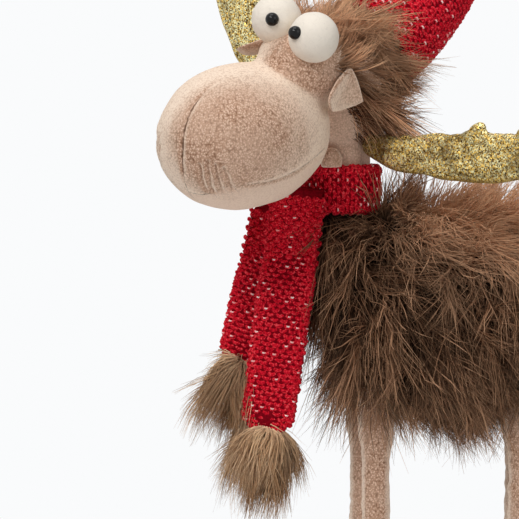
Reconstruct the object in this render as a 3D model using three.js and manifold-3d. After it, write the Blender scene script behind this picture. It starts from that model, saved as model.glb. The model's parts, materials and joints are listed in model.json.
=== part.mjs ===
// A standing plush moose with a knitted hat and scarf, built as a toy maker sews it:
// stuffed forms on bent wires, with steel weights in the hooves. Millimetres, +X forward,
// +Y to the animal's left, +Z up, origin on the floor under the middle of the part.
import * as THREE from 'three';
import { mergeVertices } from 'three/addons/utils/BufferGeometryUtils.js';
import Module from 'manifold-3d';

const wasm = await Module();
wasm.setup();

// Fits
const seatGap = 0.35;          // between two pieces that touch
const cutterReach = 300;       // size of the blocks that trim a form

// Torso
const torsoLength = 140;
const torsoWidth = 88;
const torsoHeight = 120;
const bellyHeight = 153;       // underside of the torso above the floor
const torsoFrontX = 66;
const shoulderSwellShare = 0.05;
const haunchSwellShare = 0.06;

// Legs, hooves and their weights
const legRadius = 6.75;
const kneeSwell = 0.7;
const legFootSwell = 0.5;
const frontLegX = 34.7;
const rearLegX = -41.6;
const stanceStep = 1.5;        // the right pair stands wider than the left pair
const legHalfSpread = 15;
const legInsideBelly = 22;     // leg length that reaches up behind the belly line
const hoofLength = 33;
const hoofWidth = 23;
const hoofHeight = 20;
const hoofHeelBehindLeg = 12;
const soleCut = 0.5;
const splitWidth = 1.6;        // groove between the two toes
const splitDepth = 9;
const weightRadius = 7.5;
const weightThickness = 8;
const weightAboveFloor = 4;

// Wires
const wireRadius = 1.25;
const wireArchRise = 34;       // how far a leg wire climbs above the belly line
const wireBendLength = 16;
const neckWireBottom = 226;
const neckWireTop = 318;

// Neck and collar
const neckX = 49.4;
const neckRadius = 14.6;
const neckJointHeight = 275.6;
const collarInnerRadius = 15;
const collarOuterRadius = 20.5;
const collarBottom = 263;
const collarTop = 288;
const collarFoldDepth = 1;

// Head pose: the head group's origin is the middle of the skull
const headX = 53.4;
const headY = 10;
const headZ = 322.4;
const headYaw = 43;            // degrees, towards the animal's left
const headPitch = -6;
const headRoll = 21;           // left side down

// Muzzle, in the head's own frame
const muzzleX = 61.1;
const muzzleZ = -13.5;
const muzzleLength = 96;
const muzzleWidth = 71;
const muzzleHeight = 69;
const jowlDrop = 3;

// Skull and brow
const skullHalfWidth = 25;
const skullHalfDepth = 26;
const skullTopX = -15;
const skullTopZ = 40;
const throatTopHeight = 304;   // above the floor, where the throat widens into the skull
const browX = 29;
const browZ = 19;
const browHalfLength = 25;
const browHalfWidth = 22;
const browHalfHeight = 22;

// Eyes
const eyeRadius = 12.2;
const eyeX = 41.2;
const eyeZ = 39;
const eyeHalfSpacing = 12.5;
const pupilRadius = 3.3;
const pupilStandOut = 0.3;     // how far the bead's middle lies above the ball

// Ears
const earLength = 26;
const earWidth = 23;
const earThickness = 4;
const earTuck = 3;             // how far the ear's top reaches in to its seam
const earRootX = 20;
const earRootY = 24.5;
const earRootZ = 26;
const leftEarDroop = 11;       // degrees out from hanging straight down
const rightEarDroop = 50;
const earForwardTilt = 8;
const earRoomGap = 1.4;        // between an ear and the long hair round it

// Antlers
const antlerLength = 132;
const antlerWidth = 27;
const antlerThickness = 10;
const antlerTuck = 8;          // how far the antler's root reaches in to its seam
const antlerRootX = -6;
const antlerRootY = 24;
const antlerRootZ = -17;
const leftAntlerRise = 6;      // degrees above the head's side direction at the root
const leftAntlerCurl = 24;     // degrees that the antler curls up along its length
const rightAntlerRise = 8;
const rightAntlerCurl = 92;

// Hair
const hairThickness = 14;
const hairLowerZ = -2;
const hairFrontX = 20;
const hairFrontLean = 18;      // degrees that the hair line leans forward towards the crown

// Hat and its pompom
const hatBrimRadius = 27;
const hatTipRadius = 6;
const hatBrimX = -19;
const hatBrimZ = 24;
const hatRise = 31;            // degrees that the hat's axis rises from straight back
const hatStraightLength = 82;
const hatFlopBack = 60;
const hatFlopDrop = 20;
const hatHangingEnd = 14;      // length of the tip that hangs straight down
const hatRingSpace = 3;        // clearance of the brim's inside round the skull

// Throat bell, placed from the top of the throat in the head's own frame
const bellForward = 15.8;
const bellLeft = 8.4;
const bellDrop = 2.3;
const bellLength = 13;
const bellHalfWidth = 5;
const bellHalfThickness = 3;

// Scarf tails and pompoms
const tailYaw = 70;            // degrees, the way the broad face of a tail looks
const tailThickness = 8.4;
const tailTopWidth = 31;
const tailBottomWidth = 27;
const tailGatherRadius = 5.5;
const tailGatherLength = 9;
const leftTailX = 71.4;
const leftTailY = 17;
const leftTailTop = 279;
const leftTailBottom = 159;
const leftTailLean = 15;
const rightTailX = 79.4;
const rightTailY = 4.7;
const rightTailTop = 270;
const rightTailBottom = 188;
const rightTailLean = 24;
const pomLength = 40;
const pomRadius = 17.5;
const pomTopFlare = 2;           // the top widens this much for each mm down from the knot

// Body tail
const tailStubLength = 26;
const tailStubRadius = 8;
const tailStubBelowBack = 36;   // the tail's root below the top of the back
const tailStubLean = 32;       // degrees from hanging straight down

// How far the soft pieces move, in degrees either way or outwards
const headTurn = 15;
const earFlap = 20;
const antlerFlex = 10;
const tailWag = 15;
const scarfSwing = 25;

const degrees = Math.PI / 180;
const X = new THREE.Vector3(1, 0, 0);
const Y = new THREE.Vector3(0, 1, 0);
const Z = new THREE.Vector3(0, 0, 1);
const point = (x, y, z) => new THREE.Vector3(x, y, z);

// Finishes
const finish = (color, roughness, metalness = 0) => ({ color, roughness, metalness });
const finishes = {
  velour: finish('#b8977c', 0.95),
  bodyFur: finish('#4b3a2e', 1),
  hairFur: finish('#927058', 1),
  pomFur: finish('#a8825f', 1),
  knit: finish('#b8152a', 0.9),
  glitter: finish('#c09a38', 0.45, 0.6),
  felt: finish('#f1ece3', 0.95),
  bead: finish('#0b0b0c', 0.08),
  wire: finish('#9a9da1', 0.4, 1),
  weight: finish('#7c7f84', 0.5, 1),
};

function piece(name, geometry, look) {
  const material = new THREE.MeshStandardMaterial(finishes[look]);
  const mesh = new THREE.Mesh(geometry, material);
  mesh.name = name;
  return mesh;
}

// Joins and cuts
function solid(geometry) {
  const bare = geometry.clone();
  bare.deleteAttribute('normal');
  bare.deleteAttribute('uv');
  const merged = mergeVertices(bare, seatGap / 1000);
  return new wasm.Manifold(new wasm.Mesh({
    numProp: 3,
    vertProperties: Float32Array.from(merged.attributes.position.array),
    triVerts: Uint32Array.from(merged.index.array),
  }));
}

function geometryOf(manifold) {
  const mesh = manifold.getMesh();
  const geometry = new THREE.BufferGeometry();
  geometry.setAttribute('position', new THREE.BufferAttribute(mesh.vertProperties, 3));
  geometry.setIndex(new THREE.BufferAttribute(mesh.triVerts, 1));
  return geometry;
}

const cut = (from, ...cutters) => cutters.reduce((left, cutter) => left.subtract(cutter), from);

// The cutter as it stands to a piece that has turned about an axis by each of these angles.
function turned(cutter, origin, axis, angles) {
  const away = new THREE.Matrix4().makeTranslation(-origin.x, -origin.y, -origin.z);
  const back = new THREE.Matrix4().makeTranslation(origin.x, origin.y, origin.z);
  return angles.map((angle) => {
    const turn = new THREE.Matrix4().makeRotationAxis(axis, -angle * degrees);
    return cutter.transform(back.clone().multiply(turn).multiply(away).elements);
  });
}

// A share that runs smoothly through hand-set stations [place, value].
function through(stationShares) {
  return (t) => {
    const last = stationShares.length - 1;
    let i = 0;
    while (i < last - 1 && t > stationShares[i + 1][0]) i += 1;
    const slope = (k) => {
      const a = stationShares[Math.max(k - 1, 0)];
      const b = stationShares[Math.min(k + 1, last)];
      return (b[1] - a[1]) / (b[0] - a[0]);
    };
    const [t0, v0] = stationShares[i];
    const [t1, v1] = stationShares[i + 1];
    const width = t1 - t0;
    const s = Math.min(Math.max((t - t0) / width, 0), 1);
    const rise = s * s * (3 - 2 * s);
    const leave = s * (1 - s) * (1 - s) * slope(i) * width;
    const arrive = s * s * (s - 1) * slope(i + 1) * width;
    return v0 + (v1 - v0) * rise + leave + arrive;
  };
}

// Full in the middle and closing roundly at both ends.
const dome = (t, fullness) => (1 - Math.abs(2 * t - 1) ** fullness) ** (1 / fullness);
const signedPower = (value, power) => Math.sign(value) * Math.abs(value) ** power;

// A stuffed form: rings of a rounded section along a spine, closed by a point or a flat fan
// at each end. `across` is a direction square to the spine.
function stuffed({
  rings, sides, spine, across, halfAcross, halfUp, squareness = 2, flatStart = false, flatEnd = false,
}) {
  const from = flatStart ? Math.PI / 2 : 0;
  const to = flatEnd ? Math.PI / 2 : Math.PI;
  const even = flatStart && flatEnd;
  const place = (k) => {
    const share = k / rings;
    if (even) return share;
    return (Math.cos(from) - Math.cos(from + (to - from) * share)) / (Math.cos(from) - Math.cos(to));
  };
  const stops = [];
  for (let k = flatStart ? 0 : 1; k <= (flatEnd ? rings : rings - 1); k += 1) stops.push(place(k));

  const nudge = 1 / (rings * rings);
  const positions = [];
  const add = (p) => positions.push(p.x, p.y, p.z);
  add(spine(0));
  for (const t of stops) {
    const tangent = spine(Math.min(t + nudge, 1)).sub(spine(Math.max(t - nudge, 0))).normalize();
    const upward = tangent.clone().cross(across).normalize();
    const sideways = upward.clone().cross(tangent);
    for (let j = 0; j < sides; j += 1) {
      const angle = (2 * Math.PI * j) / sides;
      const a = signedPower(Math.cos(angle), 2 / squareness) * halfAcross(t);
      const b = signedPower(Math.sin(angle), 2 / squareness) * halfUp(t);
      add(spine(t).addScaledVector(sideways, a).addScaledVector(upward, b));
    }
  }
  add(spine(1));

  const index = [];
  const at = (ring, j) => 1 + ring * sides + (j % sides);
  const end = 1 + stops.length * sides;
  for (let j = 0; j < sides; j += 1) {
    index.push(0, at(0, j + 1), at(0, j));
    for (let ring = 0; ring < stops.length - 1; ring += 1) {
      index.push(at(ring, j), at(ring, j + 1), at(ring + 1, j + 1));
      index.push(at(ring, j), at(ring + 1, j + 1), at(ring + 1, j));
    }
    index.push(end, at(stops.length - 1, j), at(stops.length - 1, j + 1));
  }
  const geometry = new THREE.BufferGeometry();
  geometry.setAttribute('position', new THREE.Float32BufferAttribute(positions, 3));
  geometry.setIndex(index);
  return geometry;
}

const along = (start, end) => (t) => start.clone().lerp(end, t);

function ball(centre, radius, widthSegments = 18, heightSegments = 12) {
  return new THREE.SphereGeometry(radius, widthSegments, heightSegments)
    .rotateX(Math.PI / 2)
    .translate(centre.x, centre.y, centre.z);
}

function upright(x, y, radius, bottom, top, segments = 28) {
  return new THREE.CylinderGeometry(radius, radius, top - bottom, segments)
    .rotateX(Math.PI / 2)
    .translate(x, y, (bottom + top) / 2);
}

function rod(path, radius, steps, sides = 8) {
  const section = new THREE.Shape();
  for (let j = 0; j < sides; j += 1) {
    const angle = (2 * Math.PI * j) / sides;
    const x = radius * Math.cos(angle);
    const y = radius * Math.sin(angle);
    if (j === 0) section.moveTo(x, y);
    else section.lineTo(x, y);
  }
  section.closePath();
  return new THREE.ExtrudeGeometry(section, { steps, extrudePath: path, bevelEnabled: false });
}

const block = (x, y, z) => new THREE.BoxGeometry(cutterReach, cutterReach, cutterReach)
  .translate(x, y, z);

// Torso
const torsoMiddleZ = bellyHeight + torsoHeight / 2;
const torsoRearX = torsoFrontX - torsoLength;
const torsoSwellShares = through([
  [0, 1 - haunchSwellShare], [0.22, 1 + haunchSwellShare], [0.52, 1 - shoulderSwellShare],
  [0.82, 1 + shoulderSwellShare], [1, 1],
]);

function torsoForm(grow = 0) {
  return stuffed({
    rings: 16,
    sides: 24,
    spine: along(point(torsoRearX - grow, 0, torsoMiddleZ), point(torsoFrontX + grow, 0, torsoMiddleZ)),
    across: Y,
    halfAcross: (t) => (torsoWidth / 2 + grow) * dome(t, 2.4) * torsoSwellShares(t),
    halfUp: (t) => (torsoHeight / 2 + grow) * dome(t, 2.8),
    squareness: 2.25,
  });
}

// Legs and hooves. A leg is named by its side and its end of the body.
const legs = [
  { name: 'left_front', x: frontLegX - stanceStep, y: legHalfSpread },
  { name: 'right_front', x: frontLegX + stanceStep, y: -legHalfSpread },
  { name: 'left_rear', x: rearLegX + stanceStep, y: legHalfSpread },
  { name: 'right_rear', x: rearLegX - stanceStep, y: -legHalfSpread },
];
const legTop = bellyHeight + legInsideBelly;
const legSwellShares = through([[0, 0.5], [0.2, 0], [0.5, 1], [0.72, 0.1], [1, 1.4]]);

function legForm({ x, y }) {
  const radius = (t) => legRadius + kneeSwell * legSwellShares(t) + legFootSwell * (1 - t);
  return stuffed({
    rings: 9,
    sides: 12,
    spine: along(point(x, y, hoofHeight / 2), point(x, y, legTop)),
    across: X,
    halfAcross: radius,
    halfUp: radius,
    flatStart: true,
    flatEnd: true,
  });
}

function hoofForm({ x, y }, grow = 0) {
  const heel = x - hoofHeelBehindLeg - grow;
  const toe = heel + hoofLength + 2 * grow;
  const middle = hoofHeight / 2 - soleCut;
  const fullnessShares = through([[0, 0.92], [0.3, 1], [0.75, 1.02], [1, 0.8]]);
  const slopeShares = through([[0, 1], [0.35, 1.02], [0.7, 0.84], [1, 0.7]]);
  return stuffed({
    rings: 9,
    sides: 16,
    spine: (t) => point(heel + (toe - heel) * t, y, middle * slopeShares(t)),
    across: Y,
    halfAcross: (t) => (hoofWidth / 2 + grow) * dome(t, 2.6) * fullnessShares(t),
    halfUp: (t) => (hoofHeight / 2 + grow) * dome(t, 2.6) * slopeShares(t),
    squareness: 2.5,
  });
}

const floorCut = solid(block(0, 0, -cutterReach / 2));

function toeSplit({ x, y }) {
  const toe = x - hoofHeelBehindLeg + hoofLength;
  return solid(new THREE.CylinderGeometry(splitDepth, splitDepth, splitWidth, 24)
    .translate(toe + splitDepth / 3, y, hoofHeight / 3));
}

const weightForm = ({ x, y }, grow = 0) => upright(
  x, y, weightRadius + grow, weightAboveFloor - grow, weightAboveFloor + weightThickness + grow, 24,
);

// Each leg wire runs up one leg, over inside the torso and down the other leg.
function archPath(leftLeg, rightLeg) {
  const foot = weightAboveFloor + weightThickness + seatGap;
  const bend = bellyHeight + wireArchRise - wireBendLength;
  const crown = bend + wireBendLength * 4 / 3;
  const path = new THREE.CurvePath();
  path.add(new THREE.LineCurve3(point(leftLeg.x, leftLeg.y, foot), point(leftLeg.x, leftLeg.y, bend)));
  path.add(new THREE.CubicBezierCurve3(
    point(leftLeg.x, leftLeg.y, bend), point(leftLeg.x, leftLeg.y, crown),
    point(rightLeg.x, rightLeg.y, crown), point(rightLeg.x, rightLeg.y, bend),
  ));
  path.add(new THREE.LineCurve3(point(rightLeg.x, rightLeg.y, bend), point(rightLeg.x, rightLeg.y, foot)));
  return path;
}
const archSteps = 34;
const frontArch = archPath(legs[0], legs[1]);
const rearArch = archPath(legs[2], legs[3]);
const archBores = [frontArch, rearArch].map((path) => solid(rod(path, wireRadius + seatGap, archSteps)));

// The bore is opened down to the weight's pocket, which is wider than the wire.
function hoofWithPocket(leg) {
  const pocket = solid(weightForm(leg, seatGap));
  const bore = solid(upright(
    leg.x, leg.y, wireRadius + seatGap, weightAboveFloor + weightThickness, hoofHeight * 2, 16,
  ));
  return cut(solid(hoofForm(leg)), floorCut, toeSplit(leg), pocket, bore);
}

// Collar and neck
const collarMiddle = (collarBottom + collarTop) / 2;
const collarHeight = collarTop - collarBottom;

function collarForm() {
  const middleRadius = (collarInnerRadius + collarOuterRadius) / 2;
  const halfWall = (collarOuterRadius - collarInnerRadius) / 2;
  const profile = [];
  const count = 16;
  for (let k = 0; k <= count; k += 1) {
    const angle = -Math.PI / 2 + (2 * Math.PI * k) / count;
    const out = Math.cos(angle) > 0 ? 1 : 0;
    const height = signedPower(Math.sin(angle), 0.7);
    const fold = out * collarFoldDepth * (Math.cos(3 * Math.PI * height) - 1) / 2;
    profile.push(new THREE.Vector2(
      middleRadius + signedPower(Math.cos(angle), 0.6) * halfWall + fold * Math.abs(Math.cos(angle)),
      height * collarHeight / 2,
    ));
  }
  profile[count].copy(profile[0]);
  return new THREE.LatheGeometry(profile, 28)
    .rotateX(Math.PI / 2)
    .translate(neckX, 0, collarMiddle);
}

const collarSeat = solid(upright(
  neckX, 0, collarOuterRadius + seatGap, collarBottom - seatGap, collarTop, 36,
));
const torsoNeck = solid(upright(neckX, 0, neckRadius, torsoMiddleZ, neckJointHeight));
const throat = upright(neckX, 0, neckRadius, neckJointHeight + seatGap, throatTopHeight);
const neckWire = upright(neckX, 0, wireRadius, neckWireBottom, neckWireTop, 12);
const neckWireBore = upright(
  neckX, 0, wireRadius + seatGap, neckWireBottom - seatGap, neckWireTop + seatGap, 12,
);

// Short tail under the rump
const tailRootHeight = bellyHeight + torsoHeight - tailStubBelowBack;
const tailRoot = point(torsoRearX + tailStubRadius / 2, 0, tailRootHeight);
function tailStubForm() {
  const lean = tailStubLean * degrees;
  const downward = point(-Math.sin(lean), 0, -Math.cos(lean));
  const tip = tailRoot.clone().addScaledVector(downward, tailStubLength);
  const swellShares = through([[0, 0.8], [0.4, 1], [0.8, 0.8], [1, 0.5]]);
  return stuffed({
    rings: 8,
    sides: 12,
    spine: along(tailRoot, tip),
    across: Y,
    halfAcross: (t) => tailStubRadius * dome(t, 2.2) * swellShares(t),
    halfUp: (t) => tailStubRadius * dome(t, 2.2) * swellShares(t) * 0.8,
  });
}

// Head group
const head = new THREE.Group();
head.position.set(headX, headY, headZ);
head.rotation.set(-headRoll * degrees, -headPitch * degrees, headYaw * degrees, 'ZYX');
head.updateMatrixWorld(true);
const intoHead = head.matrixWorld.clone().invert();
const inHead = (geometry) => geometry.clone().applyMatrix4(intoHead);
const neckInHead = point(neckX, 0, throatTopHeight).applyMatrix4(intoHead);
const downInHead = Z.clone().negate().transformDirection(intoHead);

function muzzleForm(grow = 0) {
  const fullnessShares = through([[0, 0.9], [0.3, 0.97], [0.65, 1.02], [1, 1.0]]);
  const dropShares = through([[0, 0], [0.4, 0], [0.75, 0.7], [1, 1]]);
  const rear = muzzleX - muzzleLength / 2 - grow;
  return stuffed({
    rings: 17,
    sides: 26,
    spine: (t) => point(rear + (muzzleLength + 2 * grow) * t, 0, muzzleZ - jowlDrop * dropShares(t)),
    across: Y,
    halfAcross: (t) => (muzzleWidth / 2 + grow) * dome(t, 2.12) * fullnessShares(t),
    halfUp: (t) => (muzzleHeight / 2 + grow) * dome(t, 2.15) * fullnessShares(t),
    squareness: 2.05,
  });
}

function skullForm(grow = 0) {
  const path = new THREE.CatmullRomCurve3([
    point(neckInHead.x, neckInHead.y, neckInHead.z - neckRadius),
    point(skullTopX / 3, neckInHead.y / 2, 0),
    point(skullTopX / 2, 0, skullTopZ / 2),
    point(skullTopX, 0, skullTopZ + grow),
  ]);
  const swellShares = through([[0, 0.8], [0.3, 0.9], [0.6, 1], [1, 0.96]]);
  return stuffed({
    rings: 13,
    sides: 20,
    spine: (t) => path.getPoint(t),
    across: Y,
    halfAcross: (t) => (skullHalfWidth + grow) * dome(t, 2.5) * swellShares(t),
    halfUp: (t) => (skullHalfDepth + grow) * dome(t, 2.5) * swellShares(t),
  });
}

function browForm(grow = 0) {
  return new THREE.SphereGeometry(1, 20, 12)
    .rotateX(Math.PI / 2)
    .scale(browHalfLength + grow, browHalfWidth + grow, browHalfHeight + grow)
    .translate(browX, 0, browZ);
}

const sideNames = { 1: 'left', [-1]: 'right' };
const sideSigns = [1, -1];
const eyeCentre = (side) => point(eyeX, side * eyeHalfSpacing, eyeZ);
const leftGazeShares = [0.97, -0.16, 0.22];
const rightGazeShares = [0.84, 0.48, 0.26];
const gaze = (side) => point(...(side > 0 ? leftGazeShares : rightGazeShares)).normalize();

// Cutters that the smaller head pieces share
const muzzleCut = solid(muzzleForm(seatGap));
const browCut = solid(browForm(seatGap));
const skullCut = solid(skullForm(seatGap));
const throatCut = solid(inHead(upright(
  neckX, 0, neckRadius + seatGap, neckJointHeight, throatTopHeight + seatGap,
)));
const eyeCuts = sideSigns.map((side) => solid(ball(eyeCentre(side), eyeRadius + seatGap)));
const velourCuts = [muzzleCut, browCut, skullCut, throatCut];

const skullAndThroat = solid(skullForm()).add(solid(browForm())).add(solid(inHead(throat)));
const collarInHead = solid(inHead(upright(
  neckX, 0, collarOuterRadius + seatGap, collarBottom, collarTop + seatGap, 36,
))).subtract(solid(inHead(upright(
  neckX, 0, neckRadius + seatGap / 2, collarBottom - seatGap, collarTop + 2 * seatGap, 36,
))));
const headSolid = cut(
  skullAndThroat, muzzleCut, ...eyeCuts, solid(inHead(neckWireBore)), collarInHead,
);

// Ears hang from their roots; each group's origin is the root.
function earForm(grow = 0) {
  const leafShares = through([[0, 0.62], [0.25, 0.95], [0.55, 1], [0.85, 0.72], [1, 0.5]]);
  return stuffed({
    rings: 9,
    sides: 14,
    spine: along(point(0, 0, earTuck + grow), point(0, 0, -earLength - grow)),
    across: Y,
    halfAcross: (t) => (earThickness / 2 + grow) * dome(t, 3),
    halfUp: (t) => (earWidth / 2 + grow) * dome(t, 2.4) * leafShares(t),
  });
}

function placed(geometry, position, rotation) {
  const frame = new THREE.Object3D();
  frame.position.copy(position);
  frame.rotation.set(rotation.x, rotation.y, rotation.z, 'ZYX');
  frame.updateMatrix();
  return geometry.clone().applyMatrix4(frame.matrix);
}

const earRoot = (side) => point(earRootX, side * earRootY, earRootZ);

function earAt(side, flap, grow = 0) {
  const droop = (side > 0 ? leftEarDroop : rightEarDroop) + flap;
  const turn = point(side * droop * degrees, -earForwardTilt * degrees, 0);
  return solid(placed(earForm(grow), earRoot(side), turn));
}

function earSolid(side) {
  const cutters = [...velourCuts, ...eyeCuts].flatMap(
    (cutter) => turned(cutter, earRoot(side), X, [0, side * earFlap / 2, side * earFlap]),
  );
  return cut(earAt(side, 0), ...cutters);
}
const earRoom = sideSigns.flatMap(
  (side) => [0, earFlap / 2, earFlap].map((flap) => earAt(side, flap, earRoomGap)),
);

// Antlers: a flat stuffed palm on a curled spine, with stuffed fingers along its upper edge.
// A finger runs from the palm's middle line to its tip, each given as [share of the length,
// share of the width], and has its own half width as a share of the palm's width.
const antlerWidthShares = [
  [0, 0.44], [0.1, 0.58], [0.3, 0.82], [0.5, 0.92], [0.72, 0.86], [0.9, 0.72], [1, 0.6],
];
const antlerFingerShares = [
  { root: [0.36, 0], tip: [0.55, 0.62], halfWidth: 0.22 },
  { root: [0.62, 0], tip: [0.82, 0.64], halfWidth: 0.24 },
  { root: [0.8, 0], tip: [1.02, 0.4], halfWidth: 0.24 },
];

const antlerRoot = (side) => point(antlerRootX, side * antlerRootY, antlerRootZ);

function antlerSolid(side) {
  const start = (side > 0 ? leftAntlerRise : rightAntlerRise) * degrees;
  const curl = (side > 0 ? leftAntlerCurl : rightAntlerCurl) * degrees;
  const radius = antlerLength / curl;
  const place = ([alongShare, widthShare]) => {
    const angle = start + curl * alongShare;
    const rise = widthShare * antlerWidth;
    return point(
      antlerRootX,
      side * (antlerRootY + radius * (Math.sin(angle) - Math.sin(start)) - rise * Math.sin(angle)),
      antlerRootZ + radius * (Math.cos(start) - Math.cos(angle)) + rise * Math.cos(angle),
    );
  };
  const widthShares = through(antlerWidthShares);
  const tuckShare = antlerTuck / antlerLength;
  const alongPalm = (t) => (1 + tuckShare) * t - tuckShare;
  const halfThickness = (t) => (antlerThickness / 2) * dome(t, 4);
  const palm = solid(stuffed({
    rings: 14,
    sides: 14,
    spine: (t) => place([alongPalm(t), 0]),
    across: X,
    halfAcross: halfThickness,
    halfUp: (t) => (antlerWidth / 2) * dome(t, 4) * widthShares(Math.max(alongPalm(t), 0)),
    squareness: 2.3,
  }));
  const fingers = antlerFingerShares.map(({ root, tip, halfWidth }) => solid(stuffed({
    rings: 7,
    sides: 10,
    spine: (t) => place([root[0] + (tip[0] - root[0]) * t, root[1] + (tip[1] - root[1]) * t ** 1.4]),
    across: X,
    halfAcross: (t) => halfThickness(0.5) * dome(t, 2.4) * 0.94,
    halfUp: (t) => antlerWidth * halfWidth * dome(t, 2.4),
  })));
  const cutters = velourCuts.flatMap(
    (cutter) => turned(cutter, antlerRoot(side), X, [-antlerFlex, 0, antlerFlex]),
  );
  return cut(fingers.reduce((whole, finger) => whole.add(finger), palm), ...cutters);
}

// Hat: a knitted cone that stands back from the brow and flops over behind the head.
const hatAxis = point(-Math.cos(hatRise * degrees), 0, Math.sin(hatRise * degrees));
const hatBrim = point(hatBrimX, 0, hatBrimZ);
const hatBend = hatBrim.clone().addScaledVector(hatAxis, hatStraightLength);
const hatAxisInWorld = hatAxis.clone().transformDirection(head.matrixWorld);
const hatBackInHead = point(hatAxisInWorld.x, hatAxisInWorld.y, 0).normalize()
  .transformDirection(intoHead);
const hatEnd = hatBend.clone()
  .addScaledVector(hatBackInHead, hatFlopBack)
  .addScaledVector(downInHead, hatFlopDrop);

function hatForm(grow = 0) {
  const path = new THREE.CatmullRomCurve3([
    hatBrim, hatBrim.clone().lerp(hatBend, 0.5), hatBend,
    hatEnd.clone().addScaledVector(downInHead, -hatHangingEnd), hatEnd,
  ]);
  const radiusShares = through([[0, 1], [0.15, 0.95], [0.3, 0.76], [0.5, 0.5], [0.75, 0.3], [1, 0.24]]);
  const radius = (t) => Math.max(hatBrimRadius * radiusShares(t), hatTipRadius) + grow;
  return stuffed({
    rings: 16,
    sides: 20,
    spine: (t) => path.getPoint(t),
    across: hatBackInHead.clone().cross(downInHead).normalize(),
    halfAcross: radius,
    halfUp: radius,
    flatStart: true,
    flatEnd: true,
  });
}

// A pompom of long fur: gathered at a knot, swelling below it.
function pomForm(knot, downward, across) {
  const swellShares = through([[0, 0.3], [0.25, 0.72], [0.55, 1], [0.8, 0.96], [1, 0.7]]);
  const tip = knot.clone().addScaledVector(downward, pomLength);
  const full = (t) => pomRadius * swellShares(t) * Math.sqrt(1 - t ** 6);
  const radius = (t) => Math.min(full(t), pomTopFlare * pomLength * t);
  return stuffed({
    rings: 11, sides: 14, spine: along(knot, tip), across, halfAcross: radius, halfUp: radius,
  });
}

const hatSolid = cut(
  solid(hatForm()), solid(skullForm(hatRingSpace)), solid(browForm(hatRingSpace)),
);
const hatPomKnot = hatEnd.clone().addScaledVector(downInHead, seatGap);
const hatPom = pomForm(hatPomKnot, downInHead, Y.clone().transformDirection(intoHead));

// Hair: a cap of long fur over the back and sides of the head, in front of the hat
function hairSolid() {
  const front = solid(block(cutterReach / 2, 0, 0)
    .rotateY(hairFrontLean * degrees)
    .translate(hairFrontX, 0, 0));
  const below = solid(block(0, 0, hairLowerZ - cutterReach / 2));
  return cut(
    solid(skullForm(hairThickness)), front, below,
    ...velourCuts, ...eyeCuts, ...earRoom, solid(hatForm(seatGap)),
  );
}

// Throat bell: a small velour tab that hangs under the jaw against the collar
const bellTop = neckInHead.clone().add(point(bellForward, bellLeft, -bellDrop));
function bellForm() {
  const tip = bellTop.clone().addScaledVector(downInHead, bellLength);
  const swellShares = through([[0, 0.85], [0.6, 1], [1, 0.9]]);
  return stuffed({
    rings: 8,
    sides: 14,
    spine: along(bellTop, tip),
    across: Y.clone().transformDirection(intoHead),
    halfAcross: (t) => bellHalfThickness * dome(t, 2.6) * swellShares(t),
    halfUp: (t) => bellHalfWidth * dome(t, 2.6) * swellShares(t),
  });
}

// Scarf tails: flat knitted tubes that hang in front of the chest, gathered into a pompom.
const tailFace = point(Math.cos(tailYaw * degrees), Math.sin(tailYaw * degrees), 0);
const tailSide = point(Math.sin(tailYaw * degrees), -Math.cos(tailYaw * degrees), 0);

function scarfTail(x, y, top, bottom, lean) {
  const start = point(x, y, top);
  const end = point(x, y, bottom).addScaledVector(tailSide, lean);
  const length = start.distanceTo(end);
  const gatherShare = tailGatherLength / length;
  const width = (t) => {
    const flat = tailTopWidth + (tailBottomWidth - tailTopWidth) * t;
    const close = Math.min(Math.max((1 - t) / gatherShare, 0), 1);
    const gathered = 2 * tailGatherRadius + (flat - 2 * tailGatherRadius) * Math.sqrt(close * (2 - close));
    return gathered / 2;
  };
  const thick = (t) => {
    const close = Math.min(Math.max((1 - t) / gatherShare, 0), 1);
    const swell = 2 * tailGatherRadius - tailThickness;
    return (tailThickness + swell * (1 - Math.sqrt(close))) / 2;
  };
  const form = stuffed({
    rings: 13,
    sides: 16,
    spine: along(start, end),
    across: tailFace,
    halfAcross: thick,
    halfUp: width,
    squareness: 2.9,
    flatStart: true,
    flatEnd: true,
  });
  const down = end.clone().sub(start).normalize();
  return { form, start, end, down };
}

const leftTail = scarfTail(leftTailX, leftTailY, leftTailTop, leftTailBottom, leftTailLean);
const rightTail = scarfTail(rightTailX, rightTailY, rightTailTop, rightTailBottom, rightTailLean);
const tailPom = ({ end, down }) => pomForm(
  end.clone().addScaledVector(down, seatGap), down, tailFace,
);

// The muzzle passes over the scarf as the head turns, also when a tail has swung outwards by
// its own turn, and the tails start at the collar.
const muzzleInWorld = muzzleCut.transform(head.matrixWorld.elements);
const muzzlePasses = turned(
  muzzleInWorld, point(neckX, 0, 0), Z, [-headTurn, -headTurn / 2, 0, headTurn / 2, headTurn],
);

function tailSolid({ form, start }, outward) {
  const swings = [0, scarfSwing / 2, scarfSwing].map((angle) => outward * angle);
  const passes = [...muzzlePasses, collarSeat].flatMap((pass) => turned(pass, start, tailSide, swings));
  return cut(solid(form), ...passes);
}

// Assembly
const moose = new THREE.Group();

for (const [index, leg] of legs.entries()) {
  const archBore = archBores[index < 2 ? 0 : 1];
  const torsoCut = solid(torsoForm(seatGap));
  const hoofCut = solid(hoofForm(leg, seatGap));
  const legSolid = cut(solid(legForm(leg)), torsoCut, hoofCut, archBore);
  moose.add(piece(`${leg.name}_leg`, geometryOf(legSolid), 'velour'));
  moose.add(piece(`${leg.name}_hoof`, geometryOf(hoofWithPocket(leg)), 'velour'));
  moose.add(piece(`${leg.name}_weight`, weightForm(leg), 'weight'));
}
moose.add(piece('front_leg_wire', rod(frontArch, wireRadius, archSteps), 'wire'));
moose.add(piece('rear_leg_wire', rod(rearArch, wireRadius, archSteps), 'wire'));

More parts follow.
